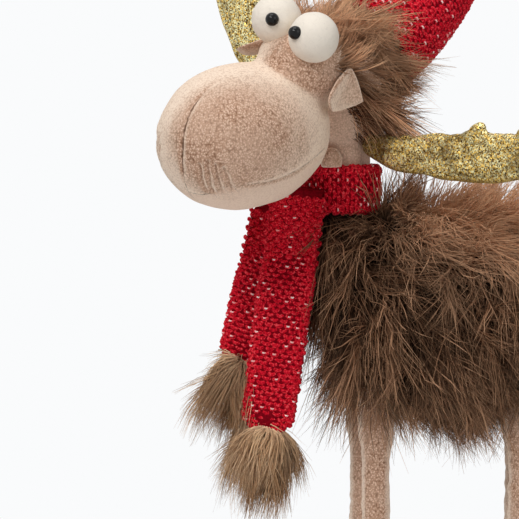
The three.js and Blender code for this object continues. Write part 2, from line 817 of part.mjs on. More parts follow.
const torsoSolid = cut(
  cut(solid(torsoForm()), collarSeat).add(torsoNeck), solid(neckWireBore), ...archBores,
);
moose.add(piece('torso', geometryOf(torsoSolid), 'bodyFur'));
const tailCuts = turned(solid(torsoForm(seatGap)), tailRoot, Z, [-tailWag, 0, tailWag]);
moose.add(piece('tail', geometryOf(cut(solid(tailStubForm()), ...tailCuts)), 'bodyFur'));
moose.add(piece('neck_wire', neckWire, 'wire'));
moose.add(piece('scarf_collar', collarForm(), 'knit'));
moose.add(piece('left_scarf_tail', geometryOf(tailSolid(leftTail, 1)), 'knit'));
moose.add(piece('right_scarf_tail', geometryOf(tailSolid(rightTail, -1)), 'knit'));
moose.add(piece('left_scarf_pompom', tailPom(leftTail), 'pomFur'));
moose.add(piece('right_scarf_pompom', tailPom(rightTail), 'pomFur'));

head.add(piece('head', geometryOf(headSolid), 'velour'));
head.add(piece('muzzle', muzzleForm(), 'velour'));
head.add(piece('hair', geometryOf(hairSolid()), 'hairFur'));
head.add(piece('throat_bell', geometryOf(cut(solid(bellForm()), ...velourCuts, collarInHead)), 'velour'));
head.add(piece('hat', geometryOf(hatSolid), 'knit'));
head.add(piece('hat_pompom', hatPom, 'pomFur'));
for (const side of sideSigns) {
  const name = sideNames[side];
  const middle = eyeCentre(side);
  const bead = middle.clone().addScaledVector(gaze(side), eyeRadius + pupilStandOut);
  const eyeCut = eyeCuts[side > 0 ? 0 : 1];
  head.add(piece(`${name}_eye`, ball(middle, eyeRadius), 'felt'));
  const pupil = solid(ball(bead, pupilRadius, 12, 8)).subtract(eyeCut);
  head.add(piece(`${name}_pupil`, geometryOf(pupil), 'bead'));
  head.add(piece(`${name}_ear`, geometryOf(earSolid(side)), 'velour'));
  head.add(piece(`${name}_antler`, geometryOf(antlerSolid(side)), 'glitter'));
}
moose.add(head);

// The origin is the middle of the part's outline on the floor.
moose.updateMatrixWorld(true);
const middle = new THREE.Box3().setFromObject(moose, true).getCenter(new THREE.Vector3());
moose.position.set(-middle.x, -middle.y, 0);

export default moose;
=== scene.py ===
"""The finish of a plush moose: velour, long fur, knitted red yarn and gold glitter cloth."""

import json
import math

import bpy
import numpy as np
from mathutils import Matrix, Vector, noise
from mathutils.bvhtree import BVHTree

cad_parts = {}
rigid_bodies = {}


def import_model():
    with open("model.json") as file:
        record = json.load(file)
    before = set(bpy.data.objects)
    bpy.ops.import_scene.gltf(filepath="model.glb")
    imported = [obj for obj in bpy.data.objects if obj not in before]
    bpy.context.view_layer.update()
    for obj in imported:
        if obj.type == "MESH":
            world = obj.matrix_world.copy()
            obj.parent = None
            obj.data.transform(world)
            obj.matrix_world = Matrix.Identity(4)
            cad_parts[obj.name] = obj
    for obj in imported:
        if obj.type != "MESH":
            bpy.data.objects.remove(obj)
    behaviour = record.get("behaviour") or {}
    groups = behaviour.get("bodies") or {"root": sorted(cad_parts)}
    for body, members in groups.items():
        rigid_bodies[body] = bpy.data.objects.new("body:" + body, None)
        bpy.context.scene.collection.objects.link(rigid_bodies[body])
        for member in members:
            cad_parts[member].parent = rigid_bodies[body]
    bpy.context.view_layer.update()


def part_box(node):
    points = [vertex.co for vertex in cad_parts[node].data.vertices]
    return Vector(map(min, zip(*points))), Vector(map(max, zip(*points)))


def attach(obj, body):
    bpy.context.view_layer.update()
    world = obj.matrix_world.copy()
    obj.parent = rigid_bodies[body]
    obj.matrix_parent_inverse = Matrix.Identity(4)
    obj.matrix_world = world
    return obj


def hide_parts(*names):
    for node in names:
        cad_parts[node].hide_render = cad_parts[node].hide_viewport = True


bl_info = {
    "name": "Plush Moose",
    "version": (1, 0, 0),
    "blender": (4, 5, 0),
    "location": "View3D > Sidebar > Plush Moose",
    "description": "Dresses a plush moose in velour, fur, knitted yarn and glitter cloth",
    "category": "Object",
}

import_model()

# Where the body stands in the frame
NECK_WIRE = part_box("neck_wire")
TORSO_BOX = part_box("torso")
NECK_X = (NECK_WIRE[0].x + NECK_WIRE[1].x) / 2
NECK_Y = (NECK_WIRE[0].y + NECK_WIRE[1].y) / 2

# The head's pose: its own frame looks forward along X, with Y to the animal's left
HEAD_FROM_NECK = Vector((0.004, 0.010))
HEAD_HEIGHT = 0.3224
HEAD_YAW = math.radians(43)
HEAD_PITCH = math.radians(-6)
HEAD_ROLL = math.radians(21)
HEAD = Matrix.Translation((NECK_X + HEAD_FROM_NECK.x, NECK_Y + HEAD_FROM_NECK.y, HEAD_HEIGHT)) @ (
    Matrix.Rotation(HEAD_YAW, 4, "Z") @ Matrix.Rotation(-HEAD_PITCH, 4, "Y") @ Matrix.Rotation(-HEAD_ROLL, 4, "X")
)
INTO_HEAD = HEAD.inverted()

X_AXIS = np.array((1.0, 0.0, 0.0))
Y_AXIS = np.array((0.0, 1.0, 0.0))
Z_AXIS = np.array((0.0, 0.0, 1.0))
DOWN_IN_HEAD = np.array(INTO_HEAD.to_3x3() @ Vector((0, 0, -1)))

# Muzzle, skull and brow, in the head's own frame
MUZZLE_CENTRE = np.array((0.0611, 0.0, -0.0135))
MUZZLE_SIZE = np.array((0.096, 0.071, 0.069))
JOWL_DROP = 0.003
SKULL_HALF_WIDTH = 0.025
SKULL_HALF_DEPTH = 0.026
SKULL_TOP = np.array((-0.015, 0.0, 0.040))
THROAT_RADIUS = 0.0146
THROAT_BOTTOM = 0.2760
THROAT_TOP = 0.304
BROW_CENTRE = np.array((0.029, 0.0, 0.019))
BROW_HALF = np.array((0.025, 0.022, 0.022))
EYE_RADIUS = 0.0122
EYE_CENTRE = np.array((0.0412, 0.0125, 0.039))
PUPIL_RADIUS = 0.0033
PUPIL_RISE = 0.0003
GAZES = {"left": (0.97, -0.16, 0.22), "right": (0.84, 0.48, 0.26)}
SIDES = {"left": 1, "right": -1}
LEGS = ("left_front", "right_front", "left_rear", "right_rear")
NOISE_SEED = 3


def srgb(red, green, blue):
    """A colour written as 0 to 255 in sRGB, as linear light."""
    channels = [c / 255 for c in (red, green, blue)]
    return tuple(c / 12.92 if c <= 0.04045 else ((c + 0.055) / 1.055) ** 2.4 for c in channels)


# Shares and vectors
def through(*station_shares):
    """A smooth share through given stations, each a place and its value."""
    place, value = np.array(station_shares, float).T
    last = len(place) - 1
    slope = np.array([
        (value[min(k + 1, last)] - value[max(k - 1, 0)]) / (place[min(k + 1, last)] - place[max(k - 1, 0)])
        for k in range(last + 1)
    ])

    def at(t):
        t = np.clip(t, place[0], place[-1])
        k = np.clip(np.searchsorted(place, t, side="right") - 1, 0, last - 1)
        width = place[k + 1] - place[k]
        s = (t - place[k]) / width
        rise = s * s * (3 - 2 * s)
        leave = s * (1 - s) ** 2 * slope[k] * width
        arrive = s * s * (s - 1) * slope[k + 1] * width
        return value[k] + (value[k + 1] - value[k]) * rise + leave + arrive

    return at


def dome(t, fullness):
    """Full in the middle and closing roundly at both ends."""
    return (1 - np.abs(2 * np.clip(t, 0, 1) - 1) ** fullness) ** (1 / fullness)


def ramp(value, low, high):
    """From 0 at low to 1 at high, smoothly."""
    s = np.clip((value - low) / (high - low), 0, 1)
    return s * s * (3 - 2 * s)


def unit(vectors):
    return vectors / np.maximum(np.linalg.norm(vectors, axis=-1, keepdims=True), 1e-12)


def dot(a, b):
    return np.sum(a * b, axis=-1)


def signed_power(value, power):
    return np.sign(value) * np.abs(value) ** power


def noise_vectors(points, size, seed=0.0):
    """A smooth random vector at each point, with features of the given size."""
    noise.seed_set(NOISE_SEED)
    return np.array([noise.noise_vector(Vector(p) / size + Vector((seed, 0, 0))) for p in points])


def noise_values(points, size, seed=0.0):
    return np.array([noise.noise(Vector(p) / size + Vector((seed, 0, 0))) for p in points])


def line(start, end):
    start, end = np.array(start), np.array(end)
    return lambda t: start + np.outer(t, end - start)


def curve_through(*places):
    """A smooth curve through places that are evenly shared along it."""
    places = np.array(places)
    shares = np.linspace(0, 1, len(places))
    axes = [through(*zip(shares, places[:, axis])) for axis in range(3)]
    return lambda t: np.stack([axis(np.atleast_1d(t)) for axis in axes], axis=1)


def moved(points, matrix):
    turn = np.array(matrix.to_3x3())
    return points @ turn.T + np.array(matrix.translation)


def turned(vectors, matrix):
    return vectors @ np.array(matrix.to_3x3()).T


# Meshes
def section(t, spine, across, half_across, half_up, angle, squareness):
    """Points of a rounded section round a spine, with the spine's direction there."""
    nudge = 0.001
    tangent = unit(spine(np.minimum(t + nudge, 1)) - spine(np.maximum(t - nudge, 0)))
    upward = unit(np.cross(tangent, across))
    sideways = np.cross(upward, tangent)
    a = signed_power(np.cos(angle), 2 / squareness)
    b = signed_power(np.sin(angle), 2 / squareness)
    wide = sideways[:, None, :] * (half_across(t)[:, None] * a)[..., None]
    high = upward[:, None, :] * (half_up(t)[:, None] * b)[..., None]
    return spine(t)[:, None, :] + wide + high, tangent


def stuffed(spine, across, half_across, half_up, rings=48, sides=48, squareness=2.0,
            flat_start=False, flat_end=False):
    """A stuffed form: rings of a rounded section along a spine, closed at both ends."""
    begin = math.pi / 2 if flat_start else 0
    finish = math.pi / 2 if flat_end else math.pi
    share = np.linspace(0, 1, rings + 1)
    stops = share
    if not (flat_start and flat_end):
        stops = (math.cos(begin) - np.cos(begin + (finish - begin) * share)) / (math.cos(begin) - math.cos(finish))
    stops = stops[0 if flat_start else 1:None if flat_end else -1]
    angle = 2 * math.pi * np.arange(sides) / sides
    body, _ = section(stops, spine, across, half_across, half_up, angle[None, :], squareness)
    ends = spine(np.array((0.0, 1.0)))
    points = np.concatenate((ends[:1], body.reshape(-1, 3), ends[1:]))
    count = len(stops)
    last = 1 + count * sides
    faces = []
    for j in range(sides):
        after = (j + 1) % sides
        faces.append((0, 1 + after, 1 + j))
        for ring in range(count - 1):
            low, high = 1 + ring * sides, 1 + (ring + 1) * sides
            faces.append((low + j, low + after, high + after, high + j))
        top = 1 + (count - 1) * sides
        faces.append((last, top + j, top + after))
    return points, faces


def ball(centre, half, rings=40, sides=64):
    """An ellipsoid with its poles along X."""
    centre, half = np.array(centre), np.broadcast_to(half, 3)
    spine = line(centre - X_AXIS * half[0], centre + X_AXIS * half[0])
    return stuffed(spine, Y_AXIS, lambda t: half[1] * dome(t, 2), lambda t: half[2] * dome(t, 2), rings, sides)


def joined(forms):
    points, faces, start = [], [], 0
    for form_points, form_faces in forms:
        points.append(form_points)
        faces += [tuple(i + start for i in face) for face in form_faces]
        start += len(form_points)
    return np.concatenate(points), faces


def placed(name, data):
    """A new object in the scene."""
    obj = bpy.data.objects.new(name, data)
    bpy.context.scene.collection.objects.link(obj)
    return obj


def mesh_object(name, form, material=None):
    points, faces = form
    mesh = bpy.data.meshes.new(name)
    mesh.from_pydata([tuple(p) for p in points], [], faces)
    mesh.validate()
    mesh.shade_smooth()
    if material:
        mesh.materials.append(material)
    return placed(name, mesh)


def settled(obj):
    """Makes the object's modifiers real."""
    graph = bpy.context.evaluated_depsgraph_get()
    mesh = bpy.data.meshes.new_from_object(
        obj.evaluated_get(graph), preserve_all_data_layers=True, depsgraph=graph,
    )
    obj.modifiers.clear()
    obj.data = mesh
    mesh.name = obj.name
    return obj


def skinned(name, forms, voxel, smoothing, levels=0, material=None):
    """One cloth skin over several forms that grow into each other."""
    obj = mesh_object(name, joined(forms))
    remesh = obj.modifiers.new("Skin", "REMESH")
    remesh.mode = "VOXEL"
    remesh.voxel_size = voxel
    smooth = obj.modifiers.new("Stuffing", "SMOOTH")
    smooth.factor = 0.5
    smooth.iterations = smoothing
    if levels:
        fine = obj.modifiers.new("Cloth", "SUBSURF")
        fine.levels = levels
        fine.render_levels = levels
    settled(obj)
    obj.data.shade_smooth()
    if material:
        obj.data.materials.clear()
        obj.data.materials.append(material)
    return obj


def vertex_vectors(mesh, key):
    flat = np.empty(len(mesh.vertices) * 3, np.float32)
    mesh.vertices.foreach_get(key, flat)
    return flat.reshape(-1, 3).astype(float)


def points_of(obj):
    return vertex_vectors(obj.data, "co")


def normals_of(obj):
    return vertex_vectors(obj.data, "normal")


def area_of(obj):
    return sum(face.area for face in obj.data.polygons)


def set_points(obj, points):
    obj.data.vertices.foreach_set("co", points.astype(np.float32).ravel())
    obj.data.update()


def set_values(obj, name, values):
    """Stores a number or a vector for each vertex."""
    values = np.asarray(values, float)
    kind, key = ("FLOAT_VECTOR", "vector") if values.ndim == 2 else ("FLOAT", "value")
    layer = obj.data.attributes.new(name, kind, "POINT")
    layer.data.foreach_set(key, values.astype(np.float32).ravel())


def into_frame(obj):
    """Places a piece that was made in the head's own frame."""
    obj.data.transform(HEAD)
    obj.data.update()
    return obj


def finished(obj, body, slot, *nodes, fill=None):
    """Attaches a finished piece to its body and hides the imported nodes that it replaces."""
    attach(obj, body)
    if nodes:
        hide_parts(*nodes)
    return obj


# Node trees
def feed(tree, socket, value):
    """Links a socket to another socket, or sets its value."""
    if isinstance(value, bpy.types.NodeSocket):
        tree.links.new(value, socket)
    elif socket.type == "RGBA" and len(value) == 3:
        socket.default_value = (*value, 1)
    else:
        socket.default_value = value


def add(tree, kind, inputs=None, **settings):
    """A node with its settings, and each named input linked or set."""
    node = tree.nodes.new(kind)
    for key, value in settings.items():
        setattr(node, key, value)
    for key, value in (inputs or {}).items():
        feed(tree, node.inputs[key], value)
    return node


def math_node(tree, operation, *values):
    node = add(tree, "ShaderNodeMath", operation=operation)
    for socket, value in zip(node.inputs, values):
        feed(tree, socket, value)
    return node.outputs[0]


def vector_node(tree, operation, *values, scale=None):
    node = add(tree, "ShaderNodeVectorMath", operation=operation)
    for socket, value in zip(node.inputs, values):
        feed(tree, socket, value)
    if scale is not None:
        feed(tree, node.inputs["Scale"], scale)
    return node.outputs["Vector"]


def times(tree, first, *others):
    for other in others:
        first = math_node(tree, "MULTIPLY", first, other)
    return first


def summed(tree, first, *others):
    for other in others:
        first = vector_node(tree, "ADD", first, other)
    return first


def scaled(tree, vector, scale):
    return vector_node(tree, "SCALE", vector, scale=scale)


def new_tree(name, kind, inputs, outputs):
    """A node group; a default tells its socket's type, and a socket without one is named by its type."""
    tree = bpy.data.node_groups.new(name, kind)
    types = {float: "Float", int: "Int", tuple: "Vector"}
    for way, sockets in (("INPUT", inputs), ("OUTPUT", outputs)):
        for key, default in sockets.items():
            socket_type = "NodeSocket" + types.get(type(default), key.split()[-1])
            socket = tree.interface.new_socket(key, in_out=way, socket_type=socket_type)
            if default is not None:
                socket.default_value = default
    start = tree.nodes.new("NodeGroupInput")
    end = tree.nodes.new("NodeGroupOutput")
    return tree, start.outputs, end.inputs


def grown(obj, tree, **values):
    """Puts a Geometry Nodes tree on a piece with its inputs set, and makes the result real."""
    modifier = obj.modifiers.new(tree.name, "NODES")
    modifier.node_group = tree
    for item in tree.interface.items_tree:
        key = item.name.lower().replace(" ", "_")
        if getattr(item, "in_out", "") == "INPUT" and key in values:
            modifier[item.identifier] = values.pop(key)
    if values:
        raise ValueError(f"{tree.name} has no input named {sorted(values)}")
    obj.update_tag()
    return settled(obj)


def long_fur_tree():
    """Tapered strands that lie along the cloth's comb, drawn together into locks."""
    tree, given, result = new_tree("Long Fur", "GeometryNodeTree", {
        "Geometry": None, "Density": 1e6, "Length": 0.02, "Length Spread": 0.3, "Thickness": 0.0002, "Lift": 0.4,
        "Scatter": 0.25, "Bend": 0.3, "Lock Spacing": 0.005, "Lock Pull": 0.6, "Lock Sway": 0.25, "Curl": 0.002,
        "Curl Size": 0.012, "Steps": 4, "Seed": 1, "Lock Seed": 7, "Material": None,
    }, {"Geometry": None})

    def named(name, kind="FLOAT"):
        return add(tree, "GeometryNodeInputNamedAttribute", {"Name": name}, data_type=kind).outputs["Attribute"]

    def stored(geometry, name, value, kind):
        return add(
            tree, "GeometryNodeStoreNamedAttribute", {"Geometry": geometry, "Name": name, "Value": value},
            data_type=kind, domain="POINT",
        ).outputs["Geometry"]

    def random(kind, low, high, seed, **more):
        node = add(tree, "FunctionNodeRandomValue", {"Seed": seed, **more}, data_type=kind)
        spots = {"FLOAT": (2, 3, 1), "FLOAT_VECTOR": (0, 1, 0)}[kind]
        node.inputs[spots[0]].default_value = low
        node.inputs[spots[1]].default_value = high
        return node.outputs[spots[2]]

    def seed_plus(count):
        return math_node(tree, "ADD", given["Seed"], count)

    # One strand of length 1 along Z
    stick = add(tree, "GeometryNodeCurvePrimitiveLine", {"End": (0, 0, 1)})
    rings = math_node(tree, "ADD", given["Steps"], 1)
    stick = add(tree, "GeometryNodeResampleCurve", {"Curve": stick.outputs[0], "Count": rings})
    along = add(tree, "GeometryNodeSplineParameter").outputs["Factor"]
    stick = stored(stick.outputs[0], "along", along, "FLOAT")
    slim = math_node(tree, "DIVIDE", given["Thickness"], given["Length"])
    narrow = math_node(tree, "POWER", along, 1.6)
    taper = math_node(tree, "MULTIPLY_ADD", narrow, -0.9, 1.0)
    circle = add(tree, "GeometryNodeCurvePrimitiveCircle", {"Resolution": 3, "Radius": 1.0})
    strand = add(tree, "GeometryNodeCurveToMesh", {
        "Curve": stick, "Profile Curve": circle.outputs["Curve"],
        "Scale": times(tree, slim, taper), "Fill Caps": True,
    }).outputs["Mesh"]

    # Roots on the cloth, each with its lock
    cover = named("cover")
    roots = add(tree, "GeometryNodeDistributePointsOnFaces", {
        "Mesh": given["Geometry"], "Density": times(tree, given["Density"], cover),
        "Seed": given["Seed"],
    }, distribute_method="RANDOM")
    apart = times(tree, given["Lock Spacing"], given["Lock Spacing"])
    locks = add(tree, "GeometryNodeDistributePointsOnFaces", {
        "Mesh": given["Geometry"], "Density": math_node(tree, "DIVIDE", 1.0, apart), "Seed": given["Lock Seed"],
    }, distribute_method="RANDOM").outputs["Points"]
    place = add(tree, "GeometryNodeInputPosition").outputs[0]
    nearest = add(tree, "GeometryNodeSampleNearest", {"Geometry": locks, "Sample Position": place}).outputs[0]
    centre = add(tree, "GeometryNodeSampleIndex", {"Geometry": locks, "Value": place, "Index": nearest},
                 data_type="FLOAT_VECTOR").outputs["Value"]
    pull = vector_node(tree, "SUBTRACT", centre, place)
    sway = random("FLOAT_VECTOR", (-1, -1, -1), (1, 1, 1), given["Lock Seed"], ID=nearest)
    strength = random("FLOAT", 0.45, 1.0, seed_plus(1))
    points = stored(roots.outputs["Points"], "pull", scaled(tree, pull, strength), "FLOAT_VECTOR")
    points = stored(points, "sway", sway, "FLOAT_VECTOR")
    points = stored(points, "shade", random("FLOAT", 0.0, 1.0, seed_plus(2)), "FLOAT")
    points = stored(points, "lock_shade", random("FLOAT", 0.0, 1.0, given["Lock Seed"], ID=nearest), "FLOAT")
    spread = times(tree, random("FLOAT", -1.0, 1.0, seed_plus(3)), given["Length Spread"])
    size = times(tree, math_node(tree, "ADD", spread, 1.0), given["Length"], named("long"))
    points = stored(points, "size", size, "FLOAT")

    comb = named("comb", "FLOAT_VECTOR")
    upright = scaled(tree, roots.outputs["Normal"], given["Lift"])
    upright = scaled(tree, upright, named("rise"))
    stray = random("FLOAT_VECTOR", (-1, -1, -1), (1, 1, 1), seed_plus(4))
    stray = scaled(tree, stray, given["Scatter"])
    toward = summed(tree, upright, comb, stray)
    rotation = add(tree, "FunctionNodeAxesToRotation", {
        "Primary Axis": toward, "Secondary Axis": roots.outputs["Normal"],
    }, primary_axis="Z", secondary_axis="X")
    planted = add(tree, "GeometryNodeInstanceOnPoints", {
        "Points": points, "Instance": strand, "Rotation": rotation.outputs[0],
        "Scale": add(tree, "ShaderNodeCombineXYZ", {"X": size, "Y": size, "Z": size}).outputs[0],
    }).outputs[0]
    coat = add(tree, "GeometryNodeRealizeInstances", {"Geometry": planted}).outputs[0]

    # Bend, lock and curl, all growing towards the tips
    reach = named("along")
    curve = times(tree, reach, reach)
    droop, pull, sway = (named(name, "FLOAT_VECTOR") for name in ("droop", "pull", "sway"))
    fall = scaled(tree, droop, times(tree, curve, given["Bend"], named("size")))
    gather = scaled(tree, pull, times(tree, math_node(tree, "POWER", reach, 1.3), given["Lock Pull"]))
    lean = scaled(tree, sway, times(tree, curve, given["Lock Sway"], named("size")))
    grain = math_node(tree, "DIVIDE", 1.0, given["Curl Size"])
    wave = add(tree, "ShaderNodeTexNoise", {"Vector": place, "Scale": grain, "Detail": 2.0}).outputs["Color"]
    wave = vector_node(tree, "SUBTRACT", wave, (0.5, 0.5, 0.5))
    wave = scaled(tree, wave, times(tree, reach, given["Curl"]))
    offset = summed(tree, fall, gather, summed(tree, lean, wave))
    coat = add(tree, "GeometryNodeSetPosition", {"Geometry": coat, "Offset": offset}).outputs[0]
    coat = add(tree, "GeometryNodeSetMaterial", {"Geometry": coat, "Material": given["Material"]}).outputs[0]
    for name in ("pull", "sway", "size"):
        coat = add(tree, "GeometryNodeRemoveAttribute", {"Geometry": coat, "Name": name}).outputs[0]
    tree.links.new(coat, result["Geometry"])
    return tree


def knitted_tree():
    """Yarn arcs planted on every point of a lattice, with a bright thread on some of them."""
    tree, given, result = new_tree("Knitted", "GeometryNodeTree", {
        "Geometry": None, "Stitch Width": 0.0063, "Bow": 0.0018, "Dip": 0.0022, "Yarn": 0.0012, "Thread": 0.0003,
        "Thread Share": 0.35, "Unevenness": 0.12, "Seed": 3, "Yarn Material": None, "Thread Material": None,
    }, {"Geometry": None})

    def named(name):
        return add(tree, "GeometryNodeInputNamedAttribute", {"Name": name}, data_type="FLOAT_VECTOR").outputs[0]

    def arc(radius, outward, sides, steps, share, bowed):
        """A bow of yarn across X, bowed to Y, whose ends dip into the cloth."""
        half = times(tree, given["Stitch Width"], share / 2)
        rod = add(tree, "GeometryNodeCurvePrimitiveLine", {"Start": (-1, 0, 0), "End": (1, 0, 0)})
        rod = add(tree, "GeometryNodeResampleCurve", {"Curve": rod.outputs[0], "Count": steps + 1})
        place = add(tree, "ShaderNodeSeparateXYZ", {"Vector": add(tree, "GeometryNodeInputPosition").outputs[0]})
        reach = place.outputs["X"]
        square = times(tree, reach, reach)
        bow = times(tree, math_node(tree, "SUBTRACT", 0.5, square), given["Bow"], bowed)
        fourth = times(tree, square, square)
        dip = times(tree, fourth, times(tree, given["Dip"], -1.0))
        where = add(tree, "ShaderNodeCombineXYZ", {
            "X": times(tree, reach, half), "Y": bow, "Z": math_node(tree, "ADD", dip, outward),
        })
        rod = add(tree, "GeometryNodeSetPosition", {"Geometry": rod.outputs[0], "Position": where.outputs[0]})
        # The share along the arc, 1 at its top and 0 at its dipping ends, that the yarn's painted shade follows.
        ridge = add(tree, "GeometryNodeStoreNamedAttribute", {
            "Geometry": rod.outputs[0], "Name": "ridge", "Value": math_node(tree, "SUBTRACT", 1.0, square),
        }, data_type="FLOAT", domain="POINT")
        circle = add(tree, "GeometryNodeCurvePrimitiveCircle", {"Resolution": sides, "Radius": radius})
        return add(tree, "GeometryNodeCurveToMesh", {
            "Curve": ridge.outputs[0], "Profile Curve": circle.outputs["Curve"], "Fill Caps": True,
        }).outputs["Mesh"]

    def planted(instance, seed, selection, material):
        jitter = add(tree, "FunctionNodeRandomValue", {"Seed": math_node(tree, "ADD", given["Seed"], seed)},
                     data_type="FLOAT_VECTOR")
        feed(tree, jitter.inputs[0], (-1, -1, -1))
        feed(tree, jitter.inputs[1], (1, 1, 1))
        uneven = scaled(tree, jitter.outputs[0], given["Unevenness"])
        rotation = add(tree, "FunctionNodeAxesToRotation", {
            "Primary Axis": summed(tree, named("out"), uneven),
            "Secondary Axis": summed(tree, named("course"), uneven),
        }, primary_axis="Z", secondary_axis="Y")
        size = summed(tree, uneven, named("size"))
        stitches = add(tree, "GeometryNodeInstanceOnPoints", {
            "Points": given["Geometry"], "Selection": selection, "Instance": instance,
            "Rotation": rotation.outputs[0], "Scale": size,
        }).outputs[0]
        cloth = add(tree, "GeometryNodeRealizeInstances", {"Geometry": stitches}).outputs[0]
        return add(tree, "GeometryNodeSetMaterial", {"Geometry": cloth, "Material": material}).outputs[0]

    chosen = add(tree, "FunctionNodeRandomValue", {"Seed": given["Seed"]}, data_type="BOOLEAN")
    feed(tree, chosen.inputs["Probability"], given["Thread Share"])
    outward = times(tree, given["Yarn"], 0.98)
    yarn = planted(arc(given["Yarn"], 0.0, 6, 5, 0.95, 1.0), 1, True, given["Yarn Material"])
    thread = planted(arc(given["Thread"], outward, 4, 3, 0.52, 0.4), 1, chosen.outputs[3], given["Thread Material"])
    both = add(tree, "GeometryNodeJoinGeometry")
    tree.links.new(thread, both.inputs[0])
    tree.links.new(yarn, both.inputs[0])
    tree.links.new(both.outputs[0], result["Geometry"])
    return tree


# Finishes
def mixed(tree, factor, first, second):
    node = add(tree, "ShaderNodeMix", data_type="RGBA")
    for index, value in ((0, factor), (6, first), (7, second)):
        feed(tree, node.inputs[index], value)
    return node.outputs[2]


def graded(tree, factor, *stops):
    """Colours at places from 0 to 1."""
    node = add(tree, "ShaderNodeValToRGB", {"Fac": factor})
    marks = node.color_ramp.elements
    while len(marks) < len(stops):
        marks.new(0.5)
    for mark, (place, colour) in zip(marks, stops):
        mark.position = place
        mark.color = (*colour, 1)
    return node.outputs["Color"]


def eased(tree, value, low, high, to_low=0.0, to_high=1.0):
    return add(tree, "ShaderNodeMapRange", {
        "Value": value, "From Min": low, "From Max": high, "To Min": to_low, "To Max": to_high,
    }, interpolation_type="SMOOTHSTEP").outputs["Result"]


def stored_value(tree, name):
    return add(tree, "ShaderNodeAttribute", attribute_name=name).outputs["Fac"]


def object_place(tree):
    return add(tree, "ShaderNodeTexCoord").outputs["Object"]


def fibres(tree, scale, detail, **more):
    """Fine noise that stays with the piece, from 0 to 1."""
    inputs = {"Vector": object_place(tree), "Scale": scale, "Detail": detail, **more}
    return add(tree, "ShaderNodeTexNoise", inputs).outputs["Fac"]


def darker(colour, share):
    return tuple(c * share for c in colour)


def bumped(tree, height, distance, strength):
    return add(tree, "ShaderNodeBump", {
        "Height": height, "Distance": distance, "Strength": strength,
    }).outputs["Normal"]


def new_finish(name, **constants):
    """A material with the given constants; gives its tree and a way to set its shader's sockets."""
    finish = bpy.data.materials.new(name)
    finish.use_nodes = True
    tree = finish.node_tree
    shader = next(node for node in tree.nodes if node.type == "BSDF_PRINCIPLED")

    def dress(**values):
        for key, value in values.items():
            feed(tree, shader.inputs[key.replace("_", " ").title().replace("Ior", "IOR")], value)

    dress(**constants)
    return tree, dress


def grain_group():
    """Fine speckles stretched along one direction, with their height."""
    tree, given, result = new_tree(
        "Pile Grain", "ShaderNodeTree", {"Vector": None, "Size": 0.001, "Stretch": (1, 1, 1)},
        {"Speckle": 0.0, "Blotch": 0.0, "Height": 0.0},
    )
    drawn = vector_node(tree, "MULTIPLY", given["Vector"], given["Stretch"])
    drawn = scaled(tree, drawn, math_node(tree, "DIVIDE", 1.0, given["Size"]))
    sway = add(tree, "ShaderNodeTexNoise", {"Vector": drawn, "Scale": 0.7, "Detail": 1.0}).outputs["Color"]
    swayed = summed(tree, drawn, scaled(tree, sway, 1.2))
    cells = add(tree, "ShaderNodeTexVoronoi", {"Vector": swayed, "Scale": 1.0, "Randomness": 0.9})
    speckle = math_node(tree, "SUBTRACT", 1.0, cells.outputs["Distance"])
    blotch = add(tree, "ShaderNodeTexNoise", {"Vector": drawn, "Scale": 0.05, "Detail": 3.0, "Roughness": 0.55})
    fine = add(tree, "ShaderNodeTexNoise", {"Vector": drawn, "Scale": 2.6, "Detail": 2.0})
    tree.links.new(speckle, result["Speckle"])
    tree.links.new(blotch.outputs["Fac"], result["Blotch"])
    height = math_node(tree, "MULTIPLY_ADD", fine.outputs["Fac"], 0.4, speckle)
    tree.links.new(height, result["Height"])
    return tree


NAP_STRETCH = (1.0, 1.0, 0.85)


def velour_finish(name, colours):
    """Short woven pile: speckled face on, pale and smooth where it turns away, which is a painted sheen."""
    tree, dress = new_finish(
        name, roughness=0.95, sheen_weight=0.1, sheen_roughness=0.4, sheen_tint=(1.0, 0.86, 0.74),
        specular_ior_level=0.06,
    )
    grain = add(tree, "ShaderNodeGroup", {
        "Vector": object_place(tree), "Size": colours.nap_size, "Stretch": NAP_STRETCH,
    }, node_tree=grain_group())
    speckle, blotch = grain.outputs["Speckle"], grain.outputs["Blotch"]
    dark, face, light = colours.velour_dark, colours.velour, colours.velour_light
    facing = graded(tree, speckle, (0.14, dark), (0.42, face), (0.56, face), (0.78, light))
    patch = eased(tree, blotch, 0.42, 0.62, 0.0, 0.35)
    facing = mixed(tree, patch, facing, mixed(tree, 0.55, face, light))
    # Painted sheen: the colour turns paler where the cloth turns away from the view.
    turning = add(tree, "ShaderNodeLayerWeight", {"Blend": 0.5}).outputs["Facing"]
    pale = mixed(tree, eased(tree, speckle, 0.2, 0.6), mixed(tree, 0.6, face, colours.velour_edge),
                 colours.velour_edge)
    colour = mixed(tree, eased(tree, turning, 0.16, 0.64), facing, pale)
    # The band: the smoother, paler nap below the jaw seam, and painted light over the cheek.
    band = mixed(tree, 0.12, light, colours.velour_edge)
    colour = mixed(tree, times(tree, stored_value(tree, "band"), 0.6), colour, band)
    # Dark ink along the seams, and painted shade along the folds of the puckers.
    beside = math_node(tree, "ABSOLUTE", stored_value(tree, "seam_side"))
    seam = times(tree, eased(tree, beside, 0.0003, 0.0009, 1.0, 0.0), stored_value(tree, "sewn"))
    seam = times(tree, seam, eased(tree, fibres(tree, 260.0, 1.0), 0.35, 0.6, 0.35, 0.9))
    colour = mixed(tree, seam, colour, mixed(tree, 0.6, dark, (0.02, 0.012, 0.008)))
    dress(base_color=colour, normal=bumped(tree, grain.outputs["Height"], 0.0004, 0.5))


